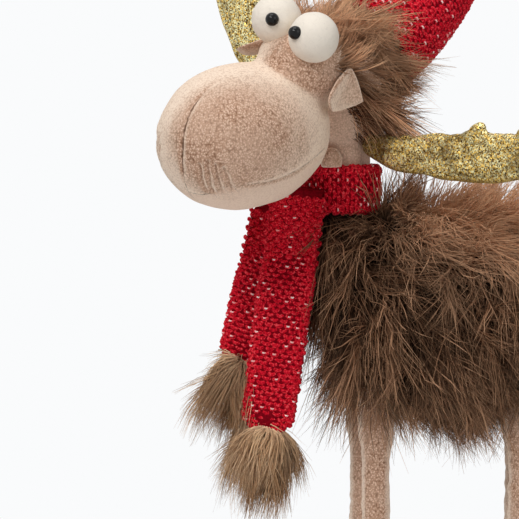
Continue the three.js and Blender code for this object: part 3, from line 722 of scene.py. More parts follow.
def fur_finish(name, root, middle, tip, deep, pale):
    """Long pile; each strand and each lock has its own shade."""
    tree, dress = new_finish(name, roughness=0.65, specular_ior_level=0.06)
    along, strand, lock, tone = (stored_value(tree, key) for key in ("along", "shade", "lock_shade", "tone"))
    colour = graded(tree, along, (0.0, root), (0.45, middle), (0.95, tip))
    lit = times(tree, along, eased(tree, strand, 0.6, 0.95, 0.0, 0.8))
    colour = mixed(tree, lit, colour, pale)
    lit = times(tree, along, eased(tree, lock, 0.65, 1.0, 0.0, 0.5))
    colour = mixed(tree, lit, colour, pale)
    colour = mixed(tree, eased(tree, lock, 0.1, 0.6, 0.8, 0.0), colour, deep)
    colour = mixed(tree, eased(tree, strand, 0.05, 0.45, 0.8, 0.0), colour, deep)
    # Painted light: paler on the top of the back, of the hair and of the pompoms, as if lit from above.
    colour = mixed(tree, times(tree, tone, 0.75), colour, pale)
    dress(base_color=colour)


def under_fur_finish(name, colour):
    """The woven ground that the pile grows from; in the pompoms it is a dark core, painted shade among the strands.
    """
    tree, dress = new_finish(name, roughness=1.0, specular_ior_level=0.05)
    weave = fibres(tree, 900.0, 2.0)
    dress(base_color=mixed(tree, eased(tree, weave, 0.4, 0.6), darker(colour, 0.5), colour),
          normal=bumped(tree, weave, 0.0005, 0.5))


def yarn_finish(colours):
    """Fuzzy spun yarn, paler on the ridge of each stitch and darker towards its ends where it dips into the holes,
    which is painted shade.
    """
    tree, dress = new_finish(
        "red yarn", roughness=0.85, sheen_weight=0.12, sheen_roughness=0.35, sheen_tint=(1.0, 0.35, 0.35),
        specular_ior_level=0.08,
    )
    fluff = fibres(tree, 1100.0, 2.0)
    ridge = stored_value(tree, "ridge")
    # Painted shade: each stitch darker towards its ends, which dip into the holes.
    colour = mixed(tree, eased(tree, ridge, 0.0, 0.7, 0.35, 1.0), colours.yarn_dark, colours.yarn)
    colour = mixed(tree, eased(tree, fluff, 0.38, 0.5, 0.7, 0.0), colour, colours.yarn_dark)
    colour = mixed(tree, eased(tree, fluff, 0.54, 0.66, 0.0, 0.75), colour, colours.yarn_light)
    dress(base_color=colour, normal=bumped(tree, fluff, 0.0004, 0.8))


def knit_hole_shade_finish(colours):
    """Painted shade: the knitting's own back, coloured darker than the yarn so that the holes look shaded."""
    tree, dress = new_finish("knit ground", roughness=0.95, specular_ior_level=0.1)
    fluff, dark = fibres(tree, 700.0, 3.0), colours.yarn_dark
    dress(base_color=mixed(tree, eased(tree, fluff, 0.35, 0.65), darker(dark, 0.7), dark),
          normal=bumped(tree, fluff, 0.0006, 0.7))


def thread_finish(colours):
    """The flat bright thread that is spun with the yarn."""
    tree, dress = new_finish("bright thread", metallic=0.2)
    glint = fibres(tree, 800.0, 1.0)
    dull = mixed(tree, 0.35, colours.yarn_light, colours.thread)
    dress(base_color=mixed(tree, eased(tree, glint, 0.4, 0.62), dull, colours.thread),
          roughness=eased(tree, glint, 0.35, 0.65, 0.5, 0.2))


def glitter_finish(colours):
    """Gold flakes glued to cloth, each turned its own way and each painted dark, gold or bright: painted
    reflections and painted glints.
    """
    tree, dress = new_finish("gold glitter", metallic=0.6)
    dark, gold, light = colours.gold_dark, colours.gold, colours.gold_light
    flakes = add(tree, "ShaderNodeTexVoronoi", {"Vector": object_place(tree), "Scale": 1 / colours.flake_size})
    facet = vector_node(tree, "SUBTRACT", flakes.outputs["Color"], (0.5, 0.5, 0.5))
    parts = add(tree, "ShaderNodeSeparateXYZ", {"Vector": flakes.outputs["Color"]})
    # Painted reflections: at random some flakes are painted dark, as if they mirrored something dark, and some
    # bright, as painted glints.
    colour = graded(tree, parts.outputs["X"], (0.0, dark), (0.2, dark), (0.32, gold), (0.56, gold), (0.64, light))
    colour = mixed(tree, eased(tree, fibres(tree, 60.0, 3.0), 0.35, 0.5, 0.5, 0.0), colour, dark)
    hem = mixed(tree, 0.4, dark, gold)
    colour = mixed(tree, times(tree, stored_value(tree, "band"), 0.7), colour, hem)
    # Painted shade in the antlers' creases and at their roots.
    colour = mixed(tree, times(tree, stored_value(tree, "seam"), 0.7), colour, dark)
    normal = add(tree, "ShaderNodeNewGeometry").outputs["Normal"]
    tilted = summed(tree, normal, scaled(tree, facet, 1.1))
    dress(base_color=colour, roughness=eased(tree, parts.outputs["Y"], 0.0, 1.0, 0.25, 0.6),
          normal=vector_node(tree, "NORMALIZE", tilted))


def felt_finish(colours):
    tree, dress = new_finish(
        "white felt", roughness=0.98, sheen_weight=0.15, sheen_roughness=0.5, specular_ior_level=0.05,
    )
    wool = fibres(tree, 420.0, 5.0, Roughness=0.7, Distortion=1.4)
    dress(base_color=mixed(tree, eased(tree, wool, 0.32, 0.5), darker(colours.felt, 0.93), colours.felt),
          normal=bumped(tree, wool, 0.0004, 0.5))


def bead_finish():
    tree, dress = new_finish("black bead", specular_ior_level=0.2)
    haze = fibres(tree, 500.0, 2.0)
    dress(base_color=mixed(tree, haze, (0.003, 0.003, 0.003), (0.012, 0.011, 0.011)),
          roughness=eased(tree, haze, 0.3, 0.7, 0.04, 0.1))


def steel_finish(name, colour, roughness):
    tree, dress = new_finish(name, metallic=1.0)
    drawn = add(tree, "ShaderNodeMapping", {"Vector": object_place(tree), "Scale": (1.0, 1.0, 0.05)})
    lines = fibres(tree, 1800.0, 2.0, Vector=drawn.outputs[0])
    dress(base_color=mixed(tree, lines, darker(colour, 0.7), colour), normal=bumped(tree, lines, 0.0001, 0.4),
          roughness=eased(tree, lines, 0.3, 0.7, roughness * 0.8, roughness * 1.2))


def finish_named(name):
    """A finish that an earlier piece has made."""
    finish = bpy.data.materials.get(name)
    if finish is None:
        raise RuntimeError(f"the finish {name} hasn't been made")
    return finish


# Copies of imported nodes, as the forms that a finish grows on
def node_form(*names):
    """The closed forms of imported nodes, with their corners shared."""
    forms = []
    for name in names:
        mesh = bpy.data.objects[name].data
        points, owner = np.unique(np.round(vertex_vectors(mesh, "co"), 7), axis=0, return_inverse=True)
        faces = [tuple(int(owner[i]) for i in face.vertices) for face in mesh.polygons]
        forms.append((points, [face for face in faces if len(set(face)) == len(face)]))
    return joined(forms)


def node_skin(name, nodes, voxel, smoothing, levels=0, material=None, sink=0.0):
    """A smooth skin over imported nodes, sunk inwards where a pile stands on it."""
    obj = skinned(name, [node_form(*nodes)], voxel, smoothing, levels, material)
    if sink:
        set_points(obj, points_of(obj) - normals_of(obj) * sink)
    return obj


def surface_of(*names):
    """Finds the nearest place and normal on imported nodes."""
    points, faces = node_form(*names)
    return BVHTree.FromPolygons([tuple(p) for p in points], faces)


def plain_values(obj, **values):
    """Stores values for every vertex; a plain number is the same everywhere."""
    count = len(obj.data.vertices)
    for name, value in values.items():
        value = np.asarray(value, float)
        if value.ndim == 0 or value.shape == (3,):
            value = np.broadcast_to(value, (count,) + value.shape)
        set_values(obj, name, value)


def along_cloth(vectors, normals):
    """The part of each vector that lies in the cloth."""
    return vectors - normals * dot(vectors, normals)[:, None]


def with_ground(name, strands, ground, ground_finish):
    """Joins a pile with the closed ground it grows from."""
    ground.data.materials.clear()
    ground.data.materials.append(ground_finish)
    for obj in bpy.context.selected_objects:
        obj.select_set(False)
    for obj in (strands, ground):
        obj.select_set(True)
    bpy.context.view_layer.objects.active = strands
    bpy.ops.object.join()
    strands.name = name
    return strands


def copied(obj, name):
    return placed(name, obj.data.copy())


# Knitted lattices
YARN_SUNK = 0.85
KNIT_SUNK = 0.0006


def lengths_along(places):
    return np.concatenate(([0], np.cumsum(np.linalg.norm(np.diff(places, axis=0), axis=1))))


def at_lengths(where, length, places):
    return np.stack([np.interp(where, length, places[:, axis]) for axis in range(3)], axis=1)


def lattice(name, points, outward, course, size):
    """Loose points that the stitches are planted on."""
    mesh = bpy.data.meshes.new(name)
    mesh.from_pydata([tuple(p) for p in points], [], [])
    obj = placed(name, mesh)
    set_values(obj, "out", outward)
    set_values(obj, "course", course)
    set_values(obj, "size", np.repeat(size[:, None], 3, axis=1))
    return obj


def round_lattice(ring_at, stops, stitch_width, sides=160):
    """Stitches round a tube; ring_at gives a dense ring, its forward direction and its middle."""
    spots, outs, courses, sizes = [], [], [], []
    for row, t in enumerate(stops):
        ring, forward, middle = ring_at(t, sides)
        loop = np.concatenate((ring, ring[:1]))
        length = lengths_along(loop)
        count = max(5, round(length[-1] / stitch_width))
        shift = 0.5 if row % 2 else 0.0
        where = (np.arange(count) + shift) / count * length[-1]
        spot = at_lengths(where, length, loop)
        ahead = at_lengths((where + 1e-4) % length[-1], length, loop)
        around = unit(ahead - spot)
        out = unit(np.cross(around, forward))
        out *= np.sign(dot(out, spot - middle))[:, None]
        spots.append(spot)
        outs.append(out)
        courses.append(np.broadcast_to(forward, out.shape))
        sizes.append(np.full(count, length[-1] / count / stitch_width))
    return [np.concatenate(part) for part in (spots, outs, courses, sizes)]


def on_surface(surface, stitches, reach):
    """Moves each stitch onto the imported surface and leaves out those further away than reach."""
    spots, outs, courses, sizes = stitches
    kept = []
    for index, spot in enumerate(spots):
        place, normal, _, gap = surface.find_nearest(Vector(spot))
        if gap < reach:
            kept.append(index)
            spots[index] = place
            outs[index] = unit(0.5 * outs[index] + 0.5 * np.array(normal))
    return [part[kept] for part in (spots, outs, courses, sizes)]


def knitted(name, stitches, knit, base):
    """Plants the stitches and joins them with the closed knitting under them."""
    spots, outs, courses, sizes = stitches
    cloth = lattice(name, spots - outs * knit.yarn_radius * YARN_SUNK, outs, courses, sizes)
    tree = bpy.data.node_groups.get("Knitted") or knitted_tree()
    grown(
        cloth, tree, stitch_width=knit.stitch_width, bow=knit.stitch_bow, yarn=knit.yarn_radius,
        thread=knit.thread_radius, thread_share=knit.thread_share, seed=len(spots),
        yarn_material=finish_named("red yarn"), thread_material=finish_named("bright thread"),
    )
    cloth.data.shade_smooth()
    return with_ground(name, cloth, base, finish_named("knit ground"))


def furred(name, skin, material, ground, **values):
    """Grows long fur on a copy of a skin, joined with the skin itself where it has a ground."""
    tree = bpy.data.node_groups.get("Long Fur") or long_fur_tree()
    pile = copied(skin, name)
    grown(pile, tree, material=material, **values)
    if len(pile.data.polygons) == 0:
        raise RuntimeError(f"{name} has no strands")
    if ground is not None:
        return with_ground(name, pile, skin, ground)
    return pile


# Head and muzzle
def muzzle_form():
    fullness = through((0, 0.9), (0.3, 0.97), (0.65, 1.02), (1, 1.0))
    drop = through((0, 0), (0.4, 0), (0.75, 0.7), (1, 1))
    rear = MUZZLE_CENTRE[0] - MUZZLE_SIZE[0] / 2

    def spine(t):
        t = np.atleast_1d(t)
        return np.stack((rear + MUZZLE_SIZE[0] * t, 0 * t, MUZZLE_CENTRE[2] - JOWL_DROP * drop(t)), axis=1)

    return stuffed(
        spine, Y_AXIS, lambda t: MUZZLE_SIZE[1] / 2 * dome(t, 2.12) * fullness(t),
        lambda t: MUZZLE_SIZE[2] / 2 * dome(t, 2.15) * fullness(t), rings=80, sides=96, squareness=2.05,
    )


def skull_form():
    neck = np.array(INTO_HEAD @ Vector((NECK_X, NECK_Y, THROAT_TOP)))
    stations = np.array([
        neck - Z_AXIS * THROAT_RADIUS, (SKULL_TOP[0] / 3, neck[1] / 2, 0),
        (SKULL_TOP[0] / 2, 0, SKULL_TOP[2] / 2), SKULL_TOP,
    ])
    swell = through((0, 0.8), (0.3, 0.9), (0.6, 1), (1, 0.96))
    return stuffed(
        curve_through(*stations), Y_AXIS,
        lambda t: SKULL_HALF_WIDTH * dome(t, 2.5) * swell(t),
        lambda t: SKULL_HALF_DEPTH * dome(t, 2.5) * swell(t), rings=60, sides=72,
    )


def throat_form():
    spine = line((NECK_X, NECK_Y, THROAT_BOTTOM), (NECK_X, NECK_Y, THROAT_TOP))
    points, faces = stuffed(
        spine, X_AXIS, lambda t: THROAT_RADIUS + 0 * t, lambda t: THROAT_RADIUS + 0 * t,
        rings=24, sides=64, flat_start=True, flat_end=True,
    )
    return moved(points, INTO_HEAD), faces


def beside(points, normals, path):
    """The gap from each point to a line through given places, and the point's side of it, 1 or -1."""
    path = np.array(path, float) / 1000
    nearest = np.full(len(points), np.inf)
    side = np.ones(len(points))
    for start, end in zip(path[:-1], path[1:]):
        run = end - start
        share = np.clip((points - start) @ run / (run @ run), 0, 1)
        away = points - start - share[:, None] * run
        gap = np.linalg.norm(away, axis=1)
        side = np.where(gap < nearest, np.sign(dot(away, np.cross(run, normals))), side)
        nearest = np.minimum(nearest, gap)
    return nearest, side


FAR_FROM_SEAMS = 0.01

# Seams on the muzzle, in millimetres in the head's own frame
NOSE_SEAM = [(97, -2.0, 8.0), (102.2, -1.0, 2.9), (107.2, 1.1, -5.5), (108.8, 3.8, -14.4),
             (106.8, 5.2, -24.1), (99.2, 5.3, -35.6)]
BRIDGE_SEAM = [(50, 0, 30), (61.4, 0.8, 19.9), (87.9, -2.3, 13.9), (97, -2.0, 8.0)]
JAW_SEAM = [(99.2, 5.3, -35.6), (97.5, 13.3, -33.6), (94.5, 22.2, -27.3), (85.4, 29.2, -24.2),
            (74.1, 33.3, -22.5), (58.2, 35.2, -18.6), (46.9, 33.9, -15.4), (35.1, 29.8, -13.4)]
# Puckers: short folds sunk into the cloth, each drawn with a dark line of painted shade.
PUCKERS = [[(105.2, 13.5, -18.6), (99.2, 14.3, -30.9)], [(103.8, 16.2, -16.2), (96.8, 17.3, -31.1)],
           [(101.3, 19.3, -16.8), (94.3, 20.6, -30.0)], [(98.2, 22.4, -17.5), (91.5, 24.1, -28.0)]]


def mirrored(path):
    return [(x, -y, z) for x, y, z in path]


def laid_on(points, path):
    """A straight fold's places, in millimetres, each moved to the nearest point of the cloth."""
    start, end = (np.array(place) for place in path)
    places = [start + (end - start) * share for share in np.linspace(0, 1, 7)]
    nearest = [points[np.argmin(np.linalg.norm(points * 1000 - place, axis=1))] * 1000 for place in places]
    return list(dict.fromkeys(tuple(place) for place in nearest))


def sew_muzzle(obj):
    """Draws in the seams and puckers, puffs the cloth beside them and marks the smooth jaw; the ink along the
    puckers is painted shade, and the paler cheek is painted light.
    """
    points, normals = points_of(obj), normals_of(obj)
    depth = np.zeros(len(points))
    seam_side = np.full(len(points), FAR_FROM_SEAMS)
    puckers = [laid_on(points, path) for pucker in PUCKERS for path in (pucker, mirrored(pucker))]
    lines = [(NOSE_SEAM, 0.0007, 0.0013, True), (BRIDGE_SEAM, 0.0004, 0.0012, False)]
    lines += [(path, 0.0009, 0.0013, True) for path in (JAW_SEAM, mirrored(JAW_SEAM))]
    lines += [(pucker, 0.0016, 0.0013, False) for pucker in puckers]
    for path, sink, width, inked in lines:
        gap, side = beside(points, normals, path)
        near = np.exp(-(gap / width) ** 2)
        puff = np.exp(-((gap - 3.2 * width) / (1.7 * width)) ** 2)
        depth = np.maximum(depth, sink * near) - 0.22 * sink * puff * (1 - near)
        if inked:
            seam_side = np.where(gap < np.abs(seam_side), gap * side, seam_side)
    jaw = through((35, -13.4), (47, -15.4), (58, -18.6), (74, -22.5), (85, -24.2), (94.5, -27.3), (99, -35))
    below = jaw(points[:, 0] * 1000) / 1000 - points[:, 2]
    band = ramp(below, 0.0005, 0.003) * ramp(points[:, 0], 0.030, 0.050)
    # Painted light: low down behind the muzzle, over the cheek and throat, the pale band is painted on too, to
    # light the cheek.
    band = np.maximum(band, 0.7 * ramp(0.030 - points[:, 0], 0, 0.014) * ramp(0.016 - points[:, 2], 0, 0.012))
    uneven = noise_values(points, 0.016, 3.0) * 0.0005 + noise_values(points, 0.006, 9.0) * 0.00018
    set_points(obj, points + normals * (uneven - depth)[:, None])
    # How dark the line is: seam ink, stronger towards the front; along the puckers, painted shade in their folds.
    sewn = 0.4 + 0.6 * ramp(points[:, 0], 0.080, 0.094)
    for pucker in puckers:
        gap, side = beside(points, normals, pucker)
        nearer = gap < np.abs(seam_side)
        seam_side = np.where(nearer, gap * side, seam_side)
        sewn = np.where(nearer, 0.4, sewn)
    plain_values(obj, seam_side=seam_side, sewn=sewn, band=band)


# Settings that a user may change
def setting(kind, **always):
    """A way to make settings of one kind, each with its name, description and default."""
    return lambda name, description, default: kind(name=name, description=description, default=default, **always)


length_setting = setting(bpy.props.FloatProperty, min=0.0, precision=5, unit="LENGTH", subtype="DISTANCE")
angle_setting = setting(bpy.props.FloatProperty, unit="ROTATION", subtype="ANGLE")
power_setting = setting(bpy.props.FloatProperty, min=0.0, unit="POWER")
share_setting = setting(bpy.props.FloatProperty, min=0.0, max=1.0, subtype="FACTOR")
number_setting = setting(bpy.props.IntProperty, min=1)
colour_setting = setting(bpy.props.FloatVectorProperty, size=3, min=0.0, max=1.0, subtype="COLOR")


class MooseCloth(bpy.types.PropertyGroup):
    """Velour, felt and glitter cloth."""
    velour: colour_setting("Velour", "Velour seen face on", srgb(192, 153, 128))
    velour_dark: colour_setting("Velour dark", "Gaps in the velour's pile", srgb(138, 101, 77))
    velour_light: colour_setting("Velour light", "Tips of the velour's pile", srgb(236, 206, 184))
    # Painted sheen: the pale colour that the velour is painted with where it turns away.
    velour_edge: colour_setting("Velour edge", "Velour where it turns away", srgb(250, 228, 207))
    nap_size: length_setting("Nap size", "Size of the speckles in the velour", 0.00095)
    felt: colour_setting("Felt", "White felt of the eyes", srgb(243, 233, 219))
    gold: colour_setting("Gold", "Glitter cloth", srgb(242, 202, 102))
    # Flakes painted dark as dark reflections; also the hem, random darker patches and the painted shade in the
    # creases.
    gold_dark: colour_setting("Gold dark", "Ground between the flakes", srgb(92, 64, 12))
    # Painted glints: flakes painted bright as if they catch the light.
    gold_light: colour_setting("Gold light", "Flakes that catch the light", srgb(255, 250, 196))
    flake_size: length_setting("Flake size", "Size of one glitter flake", 0.0006)
    crease_depth: length_setting("Crease depth", "Depth of the antlers' creases", 0.0009)


class MooseFur(bpy.types.PropertyGroup):
    """Long pile of the body, the head and the pompoms."""
    body_length: length_setting("Body fur length", "Length of the body's strands", 0.022)
    body_strands: number_setting("Body strands", "Strands on the whole body", 26000)
    hair_length: length_setting("Hair length", "Length of the strands behind the face", 0.0225)
    hair_strands: number_setting("Hair strands", "Strands behind the face", 7400)
    pompom_length: length_setting("Pompom strand length", "Length of a pompom's strands", 0.0245)
    pompom_strands: number_setting("Pompom strands", "Strands of one pompom", 3000)
    strand_radius: length_setting("Strand radius", "Radius of a strand at its root", 0.00027)
    body_root: colour_setting("Body root", "Body fur at the root", srgb(42, 29, 21))
    body_middle: colour_setting("Body middle", "Body fur halfway", srgb(138, 97, 70))
    body_tip: colour_setting("Body tip", "Body fur at the tip", srgb(196, 150, 116))
    body_pale: colour_setting("Body pale", "Sunlit strands of the body fur", srgb(232, 184, 146))
    hair_root: colour_setting("Hair root", "Hair at the root", srgb(62, 35, 24))
    hair_middle: colour_setting("Hair middle", "Hair halfway", srgb(196, 138, 102))
    hair_tip: colour_setting("Hair tip", "Hair at the tip", srgb(252, 202, 160))
    pompom_root: colour_setting("Pompom root", "Pompom strands at the knot", srgb(255, 226, 190))
    pompom_middle: colour_setting("Pompom middle", "Pompom strands halfway", srgb(240, 196, 148))
    pompom_tip: colour_setting("Pompom tip", "Pompom strands at the tip", srgb(190, 142, 100))
    pompom_deep: colour_setting("Pompom deep", "Dark strands of a pompom", srgb(130, 90, 60))


class MooseKnit(bpy.types.PropertyGroup):
    """Red yarn of the scarf and the hat."""
    yarn: colour_setting("Yarn", "Ridge of a stitch", srgb(222, 20, 44))
    # Painted shade in the holes and at the stitches' dipping ends; also the random dark flecks of fluff.
    yarn_dark: colour_setting("Yarn dark", "Yarn down in the holes", srgb(134, 0, 20))
    yarn_light: colour_setting("Yarn light", "Fluff on the ridges", srgb(250, 92, 98))
    thread: colour_setting("Bright thread", "Thread spun with the yarn", srgb(255, 236, 232))
    stitch_width: length_setting("Stitch width", "Width of one stitch", 0.0052)
    course_height: length_setting("Course height", "Height of one course", 0.0048)
    stitch_bow: length_setting("Stitch bow", "How far the yarn bows in one stitch", 0.0015)
    yarn_radius: length_setting("Yarn radius", "Radius of the yarn", 0.00118)
    thread_radius: length_setting("Thread radius", "Radius of the bright thread", 0.00042)
    thread_share: share_setting("Thread share", "Share of the stitches that show the thread", 0.2)


class MooseStage(bpy.types.PropertyGroup):
    """Floor, light and camera."""
    floor_radius: length_setting("Floor radius", "Radius of the round floor", 0.75)
    floor_colour: colour_setting("Floor", "Floor and background", srgb(250, 251, 252))
    camera_azimuth: angle_setting("Azimuth", "Camera's direction round the object", math.radians(176))
    camera_elevation: angle_setting("Elevation", "Camera's height above the horizon", math.radians(3))
    camera_distance: length_setting("Distance", "Camera's distance from what it looks at", 1.5)
    view_width: length_setting("View width", "Width that the picture covers at that distance", 0.2595)
    key_power: power_setting("Key light", "Power of the main light in watts", 7.6)
    fill_power: power_setting("Fill light", "Power of the second light in watts", 2.6)
    top_power: power_setting("Top light", "Power of the light overhead in watts", 6.0)
    spark_power: power_setting("Spark light", "Power of the small light that makes highlights, in watts", 2.0)
    ambient: share_setting("Ambient", "Strength of the light from all round", 0.28)


def groups():
    scene = bpy.context.scene
    return scene.moose_cloth, scene.moose_fur, scene.moose_knit, scene.moose_stage


class Piece:
    """What all the pieces' operators share"""
    bl_options = {"REGISTER", "UNDO"}


class MOOSE_OT_finishes(Piece, bpy.types.Operator):
    """Makes the materials that the pieces use"""
    bl_idname = "moose.finishes"
    bl_label = "Finishes"

    def execute(self, context):
        cloth, fur, knit, _ = groups()
        velour_finish("brushed velour", cloth)
        for name, *shades in (
            ("body fur", fur.body_root, fur.body_middle, fur.body_tip, fur.body_root, fur.body_pale),
            ("head hair", fur.hair_root, fur.hair_middle, fur.hair_tip, fur.hair_root, fur.hair_tip),
            ("pompom fur", fur.pompom_root, fur.pompom_middle, fur.pompom_tip, fur.pompom_deep, fur.pompom_root),
        ):
            fur_finish(name, *shades)
        under_fur_finish("body fur ground", fur.body_root)
        # Painted shade: the dark core of each pompom.
        under_fur_finish("hair ground", fur.hair_root)
        yarn_finish(knit)
        knit_hole_shade_finish(knit)
        thread_finish(knit)
        glitter_finish(cloth)
        felt_finish(cloth)
        bead_finish()
        steel_finish("wire steel", srgb(170, 172, 176), 0.35)
        steel_finish("weight steel", srgb(130, 133, 138), 0.5)
        return {"FINISHED"}


class MOOSE_OT_head(Piece, bpy.types.Operator):
    """Sews the head and the muzzle in one velour skin"""
    bl_idname = "moose.head"
    bl_label = "Head and muzzle"

    def execute(self, context):
        forms = [muzzle_form(), skull_form(), ball(BROW_CENTRE, BROW_HALF), throat_form()]
        head = skinned("head_velour", forms, 0.0018, 14, levels=1, material=finish_named("brushed velour"))
        sew_muzzle(head)
        finished(into_frame(head), "head", "velour", "head", "muzzle", fill=0.85)
        return {"FINISHED"}


BELL_SWELL = 0.0006
BELL_SHIFT = (0.0, 0.0015, -0.0012)


class MOOSE_OT_throat_bell(Piece, bpy.types.Operator):
    """Makes the small velour tab under the jaw"""
    bl_idname = "moose.throat_bell"
    bl_label = "Throat bell"

    def execute(self, context):
        velour = finish_named("brushed velour")
        bell = node_skin("throat_bell_velour", ["throat_bell"], 0.0006, 6, levels=1, material=velour)
        points, normals = points_of(bell), normals_of(bell)
        set_points(bell, points + normals * BELL_SWELL + BELL_SHIFT)
        finished(bell, "head", "velour", "throat_bell", fill=0.7)
        return {"FINISHED"}


class MOOSE_OT_eyes(Piece, bpy.types.Operator):
    """Makes the felted eyes and their polished beads"""
    bl_idname = "moose.eyes"
    bl_label = "Eyes"

    def execute(self, context):
        for side, sign in SIDES.items():
            centre = EYE_CENTRE * (1, sign, 1)
            white = ball(centre, EYE_RADIUS, rings=60, sides=90)
            eye = mesh_object(f"{side}_eye_felt", white, finish_named("white felt"))
            points = points_of(eye)
            lumps = noise_values(points, 0.006, sign) * 0.00022 + noise_values(points, 0.0016, sign) * 0.0001
            set_points(eye, points + unit(points - centre) * lumps[:, None])
            finished(into_frame(eye), "head", "white_felt", f"{side}_eye", fill=0.9)
            look = unit(np.array(GAZES[side]))
            pupil = ball(centre + look * (EYE_RADIUS + PUPIL_RISE), PUPIL_RADIUS, rings=24, sides=32)
            bead = mesh_object(f"{side}_pupil_bead", pupil, finish_named("black bead"))
            finished(into_frame(bead), "head", "black_bead", f"{side}_pupil")
        return {"FINISHED"}


# Ears: the front and rear edges of the left one, in millimetres forward and down from its seam
EAR_ROOT = np.array((0.0235, 0.0245, 0.0225))
EAR_DROOP = {"left": math.radians(11), "right": math.radians(50)}
EAR_FRONT = ((1.5, -3), (6.5, 0.5), (11.5, 4.5), (15.0, 9.0), (15.4, 12.5), (12.8, 16.5))
EAR_REAR = ((-1.5, -3), (-3.5, 0.5), (-5.5, 4.0), (-7.2, 7.5), (-8.8, 11.0), (-10.0, 14.0))
EAR_HALF_THICKNESS = 0.0016


def ear_form(side, steps=36, columns=30):
    """A leaf of two sheets with a broad lower edge, cupped outwards."""
    share = (1 - np.cos(math.pi * np.arange(steps + 1) / steps)) / 2
    across = -np.cos(math.pi * np.arange(columns + 1) / columns)
    edges = []
    for places in (EAR_FRONT, EAR_REAR):
        edge = curve_through(*[(x, y, 0) for x, y in places])
        edges.append(edge(share)[:, :2] / 1000)
    blend = (across + 1) / 2
    flat = edges[0][:, None, :] * (1 - blend)[None, :, None] + edges[1][:, None, :] * blend[None, :, None]
    flat[..., 1] += 0.0022 * share[:, None] ** 3 * (1 - across ** 2)[None, :]
    half = EAR_HALF_THICKNESS * ((1 - across ** 4) ** 0.5)[None, :] * (
        np.clip((1 - share ** 8) * (1 - (1 - share) ** 16), 0, 1) ** 0.5)[:, None]
    cup = 0.0030 * (across ** 2)[None, :] * share[:, None] ** 0.7 - 0.0012 * share[:, None]
    droop = EAR_DROOP[side]
    down = np.array((0, math.sin(droop), -math.cos(droop)))
    outward = np.array((0, math.cos(droop), math.sin(droop)))
    middle = EAR_ROOT + flat[..., :1] * X_AXIS + flat[..., 1:] * down
    sheets = [middle + (cup + way * half)[..., None] * outward for way in (1, -1)]
    points = np.concatenate([sheet.reshape(-1, 3) for sheet in sheets])
    row = columns + 1
    rim = {}
    for i in range(steps + 1):
        for j in range(row):
            if i in (0, steps) or j in (0, columns):
                rim[(steps + 1) * row + i * row + j] = i * row + j
    faces = []
    for sheet, base in enumerate((0, (steps + 1) * row)):
        for i in range(steps):
            for j in range(columns):
                first = base + i * row + j
                corners = [rim.get(corner, corner) for corner in (first, first + 1, first + row + 1, first + row)]
                faces.append(tuple(corners if (sheet == 0) == (side == "right") else corners[::-1]))
    used = sorted({corner for face in faces for corner in face})
    place = {corner: index for index, corner in enumerate(used)}
    points = points[used] * (1, SIDES[side], 1)
    return points, [tuple(place[corner] for corner in face) for face in faces]


class MOOSE_OT_ears(Piece, bpy.types.Operator):
    """Makes the two velour ears"""
    bl_idname = "moose.ears"
    bl_label = "Ears"

    def execute(self, context):
        for side, sign in SIDES.items():
            ear = mesh_object(f"{side}_ear_velour", ear_form(side), finish_named("brushed velour"))
            points = points_of(ear)
            set_points(ear, points + normals_of(ear) * (noise_values(points, 0.007, sign) * 0.0004)[:, None])
            finished(into_frame(ear), f"{side}_ear_part", "velour", f"{side}_ear", fill=0.4)
        return {"FINISHED"}


# Antlers: the palm's arc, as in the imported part
ANTLER_LENGTH = 0.132
ANTLER_WIDTH = 0.027
ANTLER_ROOT = np.array((-0.006, 0.024, -0.017))
ANTLER_RISE = {"left": math.radians(6), "right": math.radians(8)}
ANTLER_LIFT = {"left": 0.0065, "right": 0.0}
ANTLER_ROOT_DROP = 0.0035
ANTLER_CURL = {"left": math.radians(24), "right": math.radians(92)}
ANTLER_WIDTH_SHARES = ((0, 0.44), (0.1, 0.58), (0.3, 0.82), (0.5, 0.92), (0.72, 0.86), (0.9, 0.72), (1, 0.6))


def on_palm(points, side):
    """Each point's share of the antler's length, and its height above the palm's middle line."""
    local = moved(points, INTO_HEAD) * (1, SIDES[side], 1)
    start, curl = ANTLER_RISE[side], ANTLER_CURL[side]
    radius = ANTLER_LENGTH / curl
    out = local[:, 1] - ANTLER_ROOT[1] + radius * math.sin(start)
    up = ANTLER_ROOT[2] + radius * math.cos(start) - local[:, 2]
    share = (np.arctan2(out, up) - start) / curl
    return share, radius - np.hypot(out, up)


